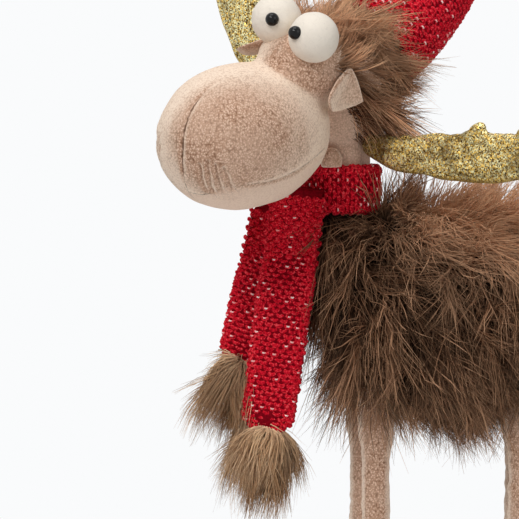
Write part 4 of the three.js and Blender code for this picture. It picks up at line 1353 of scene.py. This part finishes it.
class MOOSE_OT_antlers(Piece, bpy.types.Operator):
    """Makes the two stuffed antlers of gold glitter cloth"""
    bl_idname = "moose.antlers"
    bl_label = "Antlers"

    def execute(self, context):
        cloth = groups()[0]
        width = through(*ANTLER_WIDTH_SHARES)
        for side, sign in SIDES.items():
            antler = node_skin(f"{side}_antler_cloth", [f"{side}_antler"], 0.0011, 4, levels=1,
                               material=finish_named("gold glitter"))
            points, normals = points_of(antler), normals_of(antler)
            share, height = on_palm(points, side)
            edge = height + ANTLER_WIDTH / 2 * width(share)
            band = 1 - ramp(edge, 0.0018, 0.0032)
            stretch = np.stack((share * ANTLER_LENGTH * 0.6, height * 1.6, points[:, 0] * 0.4), axis=1)
            folds = 1 - np.abs(noise_values(stretch, 0.011, 5.0 * sign)) * 3.2
            pleats = 1 - np.abs(noise_values(points, 0.006, 2.0 * sign)) * 3.2
            crease = np.clip(folds, 0, 1) ** 2 + 0.45 * np.clip(pleats, 0, 1) ** 2
            lump = noise_values(points, 0.014, sign) * 0.0009
            # Painted shade: darker in the creases, and darker at the root where the hair shades it.
            shade = np.clip(np.clip(crease, 0, 1) * 0.6 * (1 - band) + ramp(0.13 - share, 0, 0.08), 0, 1)
            lift = ANTLER_LIFT[side] * np.clip(share, 0, 1)
            lift -= ANTLER_ROOT_DROP * (1 - ramp(share, 0.08, 0.28)) * ramp(-height, 0, 0.008)
            relief = lump - cloth.crease_depth * crease * (1 - band)
            set_points(antler, points + lift[:, None] * Z_AXIS + normals * relief[:, None])
            plain_values(antler, seam=shade, band=band)
            finished(antler, f"{side}_antler_part", "gold_cloth", f"{side}_antler", fill=0.6)
        return {"FINISHED"}


# The place beside each eye, in the head's own frame, that the hair sweeps away from
HAIR_PARTING = np.array((0.034, 0.021, 0.028))


class MOOSE_OT_hair(Piece, bpy.types.Operator):
    """Grows the long hair behind the face"""
    bl_idname = "moose.hair"
    bl_label = "Hair"

    def execute(self, context):
        fur = groups()[1]
        skin = skinned("hair_ground", [skull_form(), ball(BROW_CENTRE, BROW_HALF), throat_form()], 0.0016, 8)
        points, normals = points_of(skin), normals_of(skin)
        side = np.sign(points[:, 1])
        front = through((-34, 0), (-14, 3), (0, 11), (18, 23), (30, 34), (50, 36))(points[:, 2] * 1000) / 1000
        axis = hat_places()[0]
        cover = ramp(front - points[:, 0], 0.0, 0.003) * ramp(points[:, 2], -0.022, -0.012)
        behind = (points - HAT_BRIM) @ axis
        cover *= 1 - ramp(behind, -0.001, 0.003)
        for sign in (1, -1):
            gap = np.linalg.norm(points - EYE_CENTRE * (1, sign, 1), axis=1) - EYE_RADIUS
            cover *= ramp(gap, 0.0005, 0.003)
        centre = side[:, None] * Y_AXIS * HAIR_PARTING + (X_AXIS + Z_AXIS) * HAIR_PARTING
        away = unit(points - centre) + np.array((-0.5, 0, -0.05))
        comb = unit(along_cloth(away, normals)) + noise_vectors(points, 0.016, 1.0) * 1.2
        comb += noise_vectors(points, 0.007, 2.0)
        long = 0.8 + 0.15 * ramp(0.014 - points[:, 2], 0, 0.01) - 0.35 * ramp(behind, -0.014, -0.002)
        long *= 1 - 0.62 * ramp(-points[:, 2], 0, 0.010)
        # Painted light: the hair paler higher up.
        tone = 0.6 * ramp(points[:, 2], 0.0, 0.04)
        area = area_of(skin) * float(np.mean(cover > 0.5))
        plain_values(skin, cover=cover, comb=comb, droop=comb, long=long, rise=1.0, tone=tone)
        into_frame(skin)
        comb = turned(comb, HEAD)
        for name, values in (("comb", comb), ("droop", comb + (0, 0, -0.5))):
            skin.data.attributes[name].data.foreach_set("vector", values.astype(np.float32).ravel())
        hair = furred(
            "hair_strands", skin, finish_named("head hair"), None,
            density=fur.hair_strands / area, length=fur.hair_length, length_spread=0.22,
            thickness=1.15 * fur.strand_radius, lift=0.45, scatter=0.25, bend=0.25, lock_spacing=0.0045,
            lock_pull=0.85, lock_sway=0.6, curl=0.014, curl_size=0.011, steps=4, seed=21, lock_seed=5,
        )
        bpy.data.objects.remove(skin)
        finished(hair, "head", "hair_fur", "hair", fill=0.5)
        return {"FINISHED"}


def tube_ring(spine, across, half_across, half_up, squareness=2.0):
    """Gives the ring, forward direction and middle at a share of a form's length."""
    def at(t, sides):
        angle = 2 * math.pi * np.arange(sides) / sides
        ring, forward = section(np.array([t]), spine, across, half_across, half_up, angle[None, :], squareness)
        return ring[0], forward[0], spine(np.array([t]))[0]

    return at


def even_stops(spine, step, margin=0.0):
    """Shares of a spine that lie one step apart along it."""
    t = np.linspace(0, 1, 400)
    length = lengths_along(spine(t))
    where = np.arange(margin + step / 2, length[-1], step)
    return np.interp(where, length, t)


# Hat, in the head's own frame
HAT_BRIM = np.array((-0.019, 0.0, 0.024))
HAT_RISE = math.radians(31)
HAT_STRAIGHT = 0.082
HAT_FLOP_BACK = 0.060
HAT_FLOP_DROP = 0.020
HAT_HANGING_END = 0.014
HAT_BRIM_RADIUS = 0.027
HAT_TIP_RADIUS = 0.006


def hat_places():
    axis = np.array((-math.cos(HAT_RISE), 0, math.sin(HAT_RISE)))
    bend = HAT_BRIM + axis * HAT_STRAIGHT
    in_world = turned(axis, HEAD)
    back = turned(unit(in_world * (1, 1, 0)), INTO_HEAD)
    return axis, bend, back, bend + back * HAT_FLOP_BACK + DOWN_IN_HEAD * HAT_FLOP_DROP


class MOOSE_OT_hat(Piece, bpy.types.Operator):
    """Knits the hat round the back of the head"""
    bl_idname = "moose.hat"
    bl_label = "Hat"

    def execute(self, context):
        knit = groups()[2]
        _, bend, back, end = hat_places()
        shares = through((0, 1), (0.15, 0.95), (0.3, 0.76), (0.5, 0.5), (0.75, 0.3), (1, 0.24))
        knee = end - DOWN_IN_HEAD * HAT_HANGING_END
        path = curve_through(HAT_BRIM, (HAT_BRIM + bend) / 2, bend, knee, end)

        def spine(t):
            return moved(path(t), HEAD)

        def radius(t):
            return np.maximum(HAT_BRIM_RADIUS * shares(t), HAT_TIP_RADIUS)

        across = turned(unit(np.cross(back, DOWN_IN_HEAD)), HEAD)
        ring = tube_ring(spine, across, radius, radius)
        base = node_skin("hat_knit", ["hat"], 0.0015, 6, sink=KNIT_SUNK)
        stops = even_stops(spine, knit.course_height / 2)
        stitches = round_lattice(ring, stops, knit.stitch_width)
        stitches = on_surface(surface_of("hat"), stitches, 0.0025)
        finished(knitted("hat_knit", stitches, knit, base), "head", "red_knit", "hat", fill=0.3)
        return {"FINISHED"}


# Scarf
COLLAR_INNER = 0.015
COLLAR_OUTER = 0.0205
COLLAR_BOTTOM = 0.263
COLLAR_TOP = 0.288
TAIL_YAW = math.radians(70)
TAIL_FACE = np.array((math.cos(TAIL_YAW), math.sin(TAIL_YAW), 0.0))
TAIL_SIDE = np.array((math.sin(TAIL_YAW), -math.cos(TAIL_YAW), 0.0))
TAIL_THICKNESS = 0.0084
TAIL_TOP_WIDTH = 0.031
TAIL_BOTTOM_WIDTH = 0.027
TAIL_GATHER_RADIUS = 0.0055
TAIL_GATHER_LENGTH = 0.0055
TAIL_STARTS = {"left": (0.022, 0.017, 0.279), "right": (0.030, 0.0047, 0.270)}
TAIL_BOTTOMS = {"left": 0.159, "right": 0.188}
TAIL_PLAIN_TOPS = {"left": 0.006, "right": 0.008}
TAIL_HANGS = {"left": (0.0022, 0.0, -0.002), "right": (-0.0038, 0.0, 0.001)}
TAIL_LEANS = {"left": 0.015, "right": 0.024}
JAW_PRESS = 0.0023
JAW_PRESS_HEIGHTS = (0.228, 0.246)


def tail_line(side):
    """The start and end of a scarf end's middle line; its place across is told from the neck."""
    start = np.array(TAIL_STARTS[side]) + (NECK_X, NECK_Y, 0)
    end = start * (1, 1, 0) + (0, 0, TAIL_BOTTOMS[side]) + TAIL_SIDE * TAIL_LEANS[side]
    return start, end


def hung(obj, side):
    """Lets a scarf end's piece hang a little aside, more towards its end."""
    top, bottom = TAIL_STARTS[side][2], TAIL_BOTTOMS[side]
    points = points_of(obj)
    low = np.clip((top - points[:, 2]) / (top - bottom), 0, 1)
    set_points(obj, points + low[:, None] * np.array(TAIL_HANGS[side]))
    return obj


def under_jaw(points):
    """How far the knit is pressed in where the muzzle passes over it."""
    return (JAW_PRESS * ramp(points[:, 2], *JAW_PRESS_HEIGHTS))[:, None]


class MOOSE_OT_scarf(Piece, bpy.types.Operator):
    """Knits the scarf's wrap and its two ends"""
    bl_idname = "moose.scarf"
    bl_label = "Scarf"

    def execute(self, context):
        knit = groups()[2]
        self.collar(knit)
        for side in SIDES:
            self.end(side, knit)
        return {"FINISHED"}

    def collar(self, knit):
        middle = np.array((NECK_X, NECK_Y, (COLLAR_TOP + COLLAR_BOTTOM) / 2))
        centre = (COLLAR_INNER + COLLAR_OUTER) / 2
        wall = (COLLAR_OUTER - COLLAR_INNER) / 2

        def ring(t, sides):
            turn = 2 * math.pi * t
            radial = np.array((math.cos(turn), math.sin(turn), 0))
            around = np.array((-math.sin(turn), math.cos(turn), 0))
            angle = 2 * math.pi * np.arange(sides) / sides
            out = centre + signed_power(np.cos(angle), 0.6) * wall
            height = signed_power(np.sin(angle), 0.7) * (COLLAR_TOP - COLLAR_BOTTOM) / 2
            return middle + out[:, None] * radial + height[:, None] * Z_AXIS, around, middle + centre * radial

        rows = 2 * round(2 * math.pi * COLLAR_OUTER / knit.course_height)
        stitches = round_lattice(ring, np.arange(rows) / rows, knit.stitch_width)
        outside = dot(stitches[1], unit((stitches[0] - middle) * (1, 1, 0))) > -0.5
        stitches = on_surface(surface_of("scarf_collar"), [part[outside] for part in stitches], 0.004)
        base = node_skin("scarf_collar_knit", ["scarf_collar"], 0.0009, 5, sink=KNIT_SUNK)
        collar = knitted("scarf_collar_knit", stitches, knit, base)
        finished(collar, "body", "red_knit", "scarf_collar", fill=0.3)

    def end(self, side, knit):
        start, end = tail_line(side)
        gather = TAIL_GATHER_LENGTH / np.linalg.norm(end - start)

        def width(t):
            flat = TAIL_TOP_WIDTH + (TAIL_BOTTOM_WIDTH - TAIL_TOP_WIDTH) * t
            close = np.clip((1 - t) / gather, 0, 1)
            return TAIL_GATHER_RADIUS + (flat / 2 - TAIL_GATHER_RADIUS) * np.sqrt(close * (2 - close))

        def thick(t):
            close = np.clip((1 - t) / gather, 0, 1)
            return TAIL_THICKNESS / 2 + (TAIL_GATHER_RADIUS - TAIL_THICKNESS / 2) * (1 - np.sqrt(close))

        ring = tube_ring(line(start, end), TAIL_FACE, thick, width, 2.9)
        stops = even_stops(line(start, end), knit.course_height / 2, TAIL_PLAIN_TOPS[side])
        stitches = round_lattice(ring, stops, knit.stitch_width)
        stitches[0] -= stitches[1] * under_jaw(stitches[0])
        node = f"{side}_scarf_tail"
        base = node_skin(f"{node}_knit", [node], 0.0009, 5, sink=KNIT_SUNK)
        set_points(base, points_of(base) - normals_of(base) * under_jaw(points_of(base)))
        tail = hung(knitted(f"{node}_knit", stitches, knit, base), side)
        finished(tail, f"{side}_scarf_end", "red_knit", node, fill=0.4)


# Pompoms
POM_LENGTH = 0.040
POM_RADIUS = 0.0175
POM_TUCK = 0.002


class MOOSE_OT_pompoms(Piece, bpy.types.Operator):
    """Makes the three pompoms of long fur"""
    bl_idname = "moose.pompoms"
    bl_label = "Pompoms"

    def execute(self, context):
        hat_end = moved(hat_places()[3], HEAD)
        self.pompom("hat_pompom", "hat_pompom_part", hat_end, -Z_AXIS, 31, 0.72)
        for index, side in enumerate(SIDES):
            start, end = tail_line(side)
            end = end + TAIL_HANGS[side]
            self.pompom(f"{side}_scarf_pompom", f"{side}_scarf_end", end, unit(end - start), 41 + index)
        return {"FINISHED"}

    def pompom(self, node, body, knot, downward, seed, fullness=1.0):
        fur = groups()[1]
        start = knot - downward * POM_TUCK
        core_length = POM_LENGTH * 0.3
        tip = start + downward * core_length
        across = unit(np.cross(downward, X_AXIS if abs(downward[0]) < 0.8 else Y_AXIS))

        def radius(t):
            return POM_RADIUS * 0.46 * dome(t, 2.4)

        # Painted shade: a dark core in the middle of the pompom, among the strands.
        ground = finish_named("hair ground")
        form = stuffed(line(start, tip), across, radius, radius, rings=24, sides=32)
        core = mesh_object(f"{node}_ground", form, ground)
        points = points_of(core)
        along = (points - start) @ downward
        low = ramp(along, 0.0, core_length)
        aside = unit(points - start - downward * along[:, None] + 1e-7)
        comb = downward * (0.3 + 0.65 * low)[:, None] + aside * (0.95 - 0.8 * low)[:, None]
        comb += noise_vectors(points, 0.008, seed) * 0.7
        droop = downward * (0.95 - 0.6 * low)[:, None] - aside * (0.85 - 0.6 * low)[:, None]
        # Painted light: each pompom paler towards its top.
        plain_values(core, cover=1.0, comb=comb, droop=droop, long=fullness - 0.12 * low, rise=1.0,
                     tone=0.25 * (1 - low))
        pile = furred(
            f"{node}_strands", core, finish_named("pompom fur"), ground,
            density=fur.pompom_strands / area_of(core), length=fur.pompom_length, length_spread=0.25,
            thickness=fur.strand_radius, lift=0.05, scatter=0.2, bend=0.75, lock_spacing=0.003,
            lock_pull=0.6, lock_sway=0.35, curl=0.008, curl_size=0.012, steps=5, seed=seed, lock_seed=seed + 1,
        )
        finished(pile, body, "pom_fur", node, fill=0.3)


# Torso and tail
TORSO_LENGTH = 0.140
TORSO_WIDTH = 0.088
TORSO_HEIGHT = 0.120
TORSO_MIDDLE = TORSO_BOX[0].z + TORSO_HEIGHT / 2
TORSO_FRONT = TORSO_BOX[1].x
TORSO_REAR = TORSO_FRONT - TORSO_LENGTH
NECK_COLUMN_TOP = 0.2756
FUR_STANDS = 0.0095
CHEST_CORNER_PRESS = 0.009
FUR_BANDS = {"rump_fur": (-math.inf, 0.18), "haunch_fur": (0.18, 0.39), "side_fur": (0.39, 0.60),
             "shoulder_fur": (0.60, 0.82), "chest_fur": (0.82, math.inf)}


def torso_forms(sink):
    swell = through((0, 0.94), (0.22, 1.06), (0.52, 0.95), (0.82, 1.05), (1, 1))
    rear, front = TORSO_REAR + sink, TORSO_FRONT - sink
    body = stuffed(
        line((rear, NECK_Y, TORSO_MIDDLE), (front, NECK_Y, TORSO_MIDDLE)), Y_AXIS,
        lambda t: (TORSO_WIDTH / 2 - sink) * dome(t, 2.4) * swell(t),
        lambda t: (TORSO_HEIGHT / 2 - sink) * dome(t, 2.8), rings=60, sides=72, squareness=2.25,
    )
    radius = THROAT_RADIUS - 0.001
    neck = stuffed(
        line((NECK_X, NECK_Y, TORSO_MIDDLE), (NECK_X, NECK_Y, NECK_COLUMN_TOP)), X_AXIS,
        lambda t: radius + 0 * t, lambda t: radius + 0 * t,
        rings=12, sides=48, flat_start=True, flat_end=True,
    )
    return [body, neck]


class MOOSE_OT_torso(Piece, bpy.types.Operator):
    """Grows the body's long fur in five bands"""
    bl_idname = "moose.torso"
    bl_label = "Body fur"

    def execute(self, context):
        fur = groups()[1]
        ground = finish_named("body fur ground")
        skin = skinned("torso_ground", torso_forms(FUR_STANDS), 0.0026, 6, material=ground)
        points, normals = points_of(skin), normals_of(skin)
        swirl = noise_vectors(points, 0.022, 4.0) * 1.5 + noise_vectors(points, 0.009, 5.0) * 1.2
        top = ramp(normals[:, 2], 0.2, 0.9)
        sideways = np.sign(points[:, 1] - NECK_Y)[:, None] * Y_AXIS
        flow = (-Z_AXIS + X_AXIS * -0.3)[None, :] + top[:, None] * (sideways * 0.6 - X_AXIS * 0.5)
        comb = unit(along_cloth(flow, normals)) + swirl
        share = (points[:, 0] - TORSO_REAR) / TORSO_LENGTH
        from_neck = np.hypot(points[:, 0] - NECK_X, points[:, 1] - NECK_Y)
        clear = 1 - ramp(points[:, 2], 0.262, 0.268) * ramp(0.0235 - from_neck, 0, 0.004)
        # Painted light: the fur paler on top of the back behind the neck; it is also paler low down on the body.
        back = ramp(points[:, 2], 0.222, 0.262) * ramp(NECK_X - 0.012 - points[:, 0], 0, 0.035)
        tone = 1.35 * back + 0.25 * ramp(0.205 - points[:, 2], 0, 0.03)
        chest = ramp(points[:, 0], TORSO_FRONT - 0.034, TORSO_FRONT - 0.012)
        below = TORSO_MIDDLE - points[:, 2]
        corner = ramp(points[:, 0], TORSO_FRONT - 0.026, TORSO_FRONT - 0.006) * ramp(below, 0.020, 0.052)
        long = 1 - 0.34 * ramp(-normals[:, 2], 0.3, 0.9) - 0.5 * corner - 0.1 * chest
        for leg in LEGS:
            gap = np.linalg.norm((points - leg_middle(leg))[:, :2], axis=1)
            long *= 1 - 0.6 * (1 - ramp(gap, 0.008, 0.014)) * ramp(-normals[:, 2], 0.5, 0.8)
            long *= 1 - 0.3 * (1 - ramp(gap, 0.012, 0.022)) * ramp(below, 0.030, 0.045)
        start, end = tail_line("right")
        behind_scarf, _ = beside(points, normals, [start * 1000, (end + TAIL_HANGS["right"]) * 1000])
        pressed = (1 - ramp(behind_scarf, 0.014, 0.024)) * ramp(points[:, 2], 0.222, 0.240)
        long *= (1 - 0.55 * pressed) * (1 - 0.14 * ramp(0.15 - share, 0, 0.15))
        rise = 1 + 2.2 * top + 1.0 * top * ramp(0.045 - from_neck, 0, 0.02) - 0.75 * chest
        comb -= X_AXIS * (chest * np.maximum(comb[:, 0], 0))[:, None]
        plain_values(skin, comb=comb, droop=comb * 0.6 - Z_AXIS * 0.5, long=long, rise=rise, tone=tone)
        set_points(skin, points - normals * (CHEST_CORNER_PRESS * corner)[:, None])
        for index, (name, (low, high)) in enumerate(FUR_BANDS.items()):
            band = copied(skin, name)
            plain_values(band, cover=clear * (share >= low) * (share < high))
            pile = furred(
                f"torso_{name}", band, finish_named("body fur"), None,
                density=fur.body_strands / area_of(skin), length=fur.body_length, length_spread=0.35,
                thickness=fur.strand_radius, lift=0.5, scatter=0.4, bend=0.3, lock_spacing=0.0045,
                lock_pull=0.85, lock_sway=0.55, curl=0.015, curl_size=0.010, steps=4, seed=60 + index, lock_seed=9,
            )
            bpy.data.objects.remove(band)
            finished(pile, "body", "body_fur", "torso", fill=0.5)
        finished(skin, "body", "body_fur", "torso", fill=0.9)
        return {"FINISHED"}


TAIL_STRANDS = 1800
TAIL_STRAND_LENGTH = 0.018
TAIL_FUR_STANDS = 0.003


class MOOSE_OT_tail(Piece, bpy.types.Operator):
    """Grows the short tail"""
    bl_idname = "moose.tail"
    bl_label = "Tail"

    def execute(self, context):
        fur = groups()[1]
        ground = finish_named("body fur ground")
        skin = node_skin("tail_ground", ["tail"], 0.0012, 4, material=ground, sink=TAIL_FUR_STANDS)
        points, normals = points_of(skin), normals_of(skin)
        comb = unit(along_cloth(np.broadcast_to(-Z_AXIS - 0.3 * X_AXIS, points.shape), normals) + 1e-6)
        plain_values(skin, cover=1.0, comb=comb + noise_vectors(points, 0.01, 8.0) * 0.4, droop=comb, long=1.0,
                     rise=1.0, tone=0.1)
        tail = furred(
            "tail_strands", skin, finish_named("body fur"), ground,
            density=TAIL_STRANDS / area_of(skin), length=TAIL_STRAND_LENGTH, length_spread=0.3,
            thickness=fur.strand_radius, lift=0.3, scatter=0.25, bend=0.2, lock_spacing=0.005,
            lock_pull=0.7, lock_sway=0.2, curl=0.003, curl_size=0.012, steps=4, seed=77, lock_seed=78,
        )
        finished(tail, "tail_part", "body_fur", "tail", fill=0.5)
        return {"FINISHED"}


# Legs
THIGH_SWELL = 0.3
THIGH_LIFT = 0.014
LEG_CREASE_SIZE = 0.009
LEG_CREASE_DEPTH = 0.0006


def leg_middle(leg):
    """The middle of a leg seen from above, on the floor."""
    low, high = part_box(f"{leg}_leg")
    return np.array(((low.x + high.x) / 2, (low.y + high.y) / 2, 0))


def leg_creases(points, seed):
    """Soft folds round a stuffed tube."""
    return noise_values(points * (1, 1, 2.2), LEG_CREASE_SIZE, seed) * LEG_CREASE_DEPTH


class MOOSE_OT_legs(Piece, bpy.types.Operator):
    """Makes the four legs and hooves, and finishes the wires and weights in them"""
    bl_idname = "moose.legs"
    bl_label = "Legs and hooves"

    def execute(self, context):
        velour = finish_named("brushed velour")
        for index, leg in enumerate(LEGS):
            tube = node_skin(f"{leg}_leg_velour", [f"{leg}_leg"], 0.0010, 6, material=velour)
            points, normals = points_of(tube), normals_of(tube)
            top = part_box(f"{leg}_leg")[1].z
            wide = ramp(points[:, 2], top - 0.026, top - 0.004)[:, None]
            thigh = wide * (points - leg_middle(leg)) * (THIGH_SWELL, THIGH_SWELL, 0)
            thigh += THIGH_LIFT * ramp(points[:, 2], top - 0.012, top - 0.001)[:, None] * Z_AXIS
            set_points(tube, points + thigh + normals * leg_creases(points, 3.0 * index)[:, None])
            finished(tube, "body", "velour", f"{leg}_leg", fill=0.8)
            hoof = node_skin(f"{leg}_hoof_velour", [f"{leg}_hoof"], 0.0009, 3, material=velour)
            finished(hoof, "body", "velour", f"{leg}_hoof", fill=0.8)
            bpy.data.objects[f"{leg}_weight"].material_slots[0].material = finish_named("weight steel")
        for wire in ("front_leg_wire", "rear_leg_wire", "neck_wire"):
            bpy.data.objects[wire].material_slots[0].material = finish_named("wire steel")
        return {"FINISHED"}


# Floor, light and camera
LOOK_FROM_NECK = 0.04085
LOOK_HEIGHT = 0.24025


def aimed(obj, place, target):
    obj.location = place
    obj.rotation_mode = "QUATERNION"
    obj.rotation_quaternion = (target - place).to_track_quat("-Z", "Y")


class MOOSE_OT_stage(Piece, bpy.types.Operator):
    """Lays the floor, hangs the lights and sets the camera"""
    bl_idname = "moose.stage"
    bl_label = "Stage"

    def execute(self, context):
        stage = groups()[3]
        scene = context.scene
        scene.view_settings.view_transform = "Standard"
        bpy.ops.mesh.primitive_circle_add(vertices=128, radius=stage.floor_radius, fill_type="NGON")
        floor = context.active_object
        floor.name = "floor"
        paper = bpy.data.materials.new("floor paper")
        paper.use_nodes = True
        tree = paper.node_tree
        tree.nodes.clear()
        path = add(tree, "ShaderNodeLightPath")
        tint = mixed(tree, fibres(tree, 90.0, 4.0), darker(stage.floor_colour, 0.985), stage.floor_colour)
        matt = add(tree, "ShaderNodeBsdfDiffuse", {"Color": tint})
        glow = add(tree, "ShaderNodeEmission", {"Color": stage.floor_colour, "Strength": 1.0})
        seen = times(tree, path.outputs["Is Camera Ray"], 0.8)
        shader = add(tree, "ShaderNodeMixShader", {0: seen, 1: matt.outputs[0], 2: glow.outputs[0]})
        add(tree, "ShaderNodeOutputMaterial", {"Surface": shader.outputs[0]})
        floor.data.materials.append(paper)

        world = bpy.data.worlds.new("studio")
        scene.world = world
        world.use_nodes = True
        tree = world.node_tree
        tree.nodes.clear()
        path = add(tree, "ShaderNodeLightPath")
        plain = add(tree, "ShaderNodeBackground", {"Color": (1, 1, 1), "Strength": stage.ambient})
        white = add(tree, "ShaderNodeBackground", {"Color": stage.floor_colour, "Strength": 1.0})
        seen = math_node(tree, "ADD", path.outputs["Is Camera Ray"], path.outputs["Is Glossy Ray"])
        seen = math_node(tree, "MINIMUM", math_node(tree, "ADD", seen, path.outputs["Is Transmission Ray"]), 1.0)
        shader = add(tree, "ShaderNodeMixShader", {0: seen, 1: plain.outputs[0], 2: white.outputs[0]})
        add(tree, "ShaderNodeOutputWorld", {"Surface": shader.outputs[0]})

        target = Vector((NECK_X + LOOK_FROM_NECK, NECK_Y, LOOK_HEIGHT))
        for name, away, size, power in (
            ("key light", (0.72, 0.85, 1.1), 0.7, stage.key_power),
            ("spark light", (0.35, 0.9, 0.75), 0.12, stage.spark_power),
            ("fill light", (-0.9, 0.9, 0.5), 0.9, stage.fill_power),
            ("top light", (0.15, 0.15, 1.4), 0.9, stage.top_power),
        ):
            data = bpy.data.lights.new(name, "AREA")
            data.shape, data.size, data.energy = "DISK", size, power
            aimed(placed(name, data), target + Vector(away), target)

        a, e = stage.camera_azimuth, stage.camera_elevation
        back = Vector((math.sin(a) * math.cos(e), -math.cos(a) * math.cos(e), math.sin(e)))
        data = bpy.data.cameras.new("camera")
        data.sensor_width = 36
        data.lens = data.sensor_width * stage.camera_distance / stage.view_width
        scene.camera = placed("camera", data)
        aimed(scene.camera, target + back * stage.camera_distance, target)
        return {"FINISHED"}


PIECES = (
    MOOSE_OT_stage, MOOSE_OT_finishes, MOOSE_OT_head, MOOSE_OT_throat_bell, MOOSE_OT_eyes, MOOSE_OT_ears,
    MOOSE_OT_antlers, MOOSE_OT_hair, MOOSE_OT_hat, MOOSE_OT_scarf, MOOSE_OT_pompoms, MOOSE_OT_torso,
    MOOSE_OT_tail, MOOSE_OT_legs,
)


class MOOSE_PT_panel(bpy.types.Panel):
    """Lists the pieces and their settings."""
    bl_label = "Plush Moose"
    bl_idname = "MOOSE_PT_panel"
    bl_space_type = "VIEW_3D"
    bl_region_type = "UI"
    bl_category = "Plush Moose"

    def draw(self, context):
        layout = self.layout
        for operator in PIECES:
            layout.operator(operator.bl_idname)
        for group in groups():
            box = layout.box()
            for name in group.bl_rna.properties.keys():
                if name not in ("rna_type", "name"):
                    box.prop(group, name)


SETTINGS = {"moose_cloth": MooseCloth, "moose_fur": MooseFur, "moose_knit": MooseKnit, "moose_stage": MooseStage}


def register():
    for kind in (*SETTINGS.values(), *PIECES, MOOSE_PT_panel):
        bpy.utils.register_class(kind)
    for name, kind in SETTINGS.items():
        setattr(bpy.types.Scene, name, bpy.props.PointerProperty(type=kind))


def unregister():
    for name in SETTINGS:
        delattr(bpy.types.Scene, name)
    for kind in (MOOSE_PT_panel, *reversed(PIECES), *SETTINGS.values()):
        bpy.utils.unregister_class(kind)


def main():
    register()
    for operator in PIECES:
        group, name = operator.bl_idname.split(".")
        getattr(getattr(bpy.ops, group), name)()


if __name__ == "__main__":
    main()
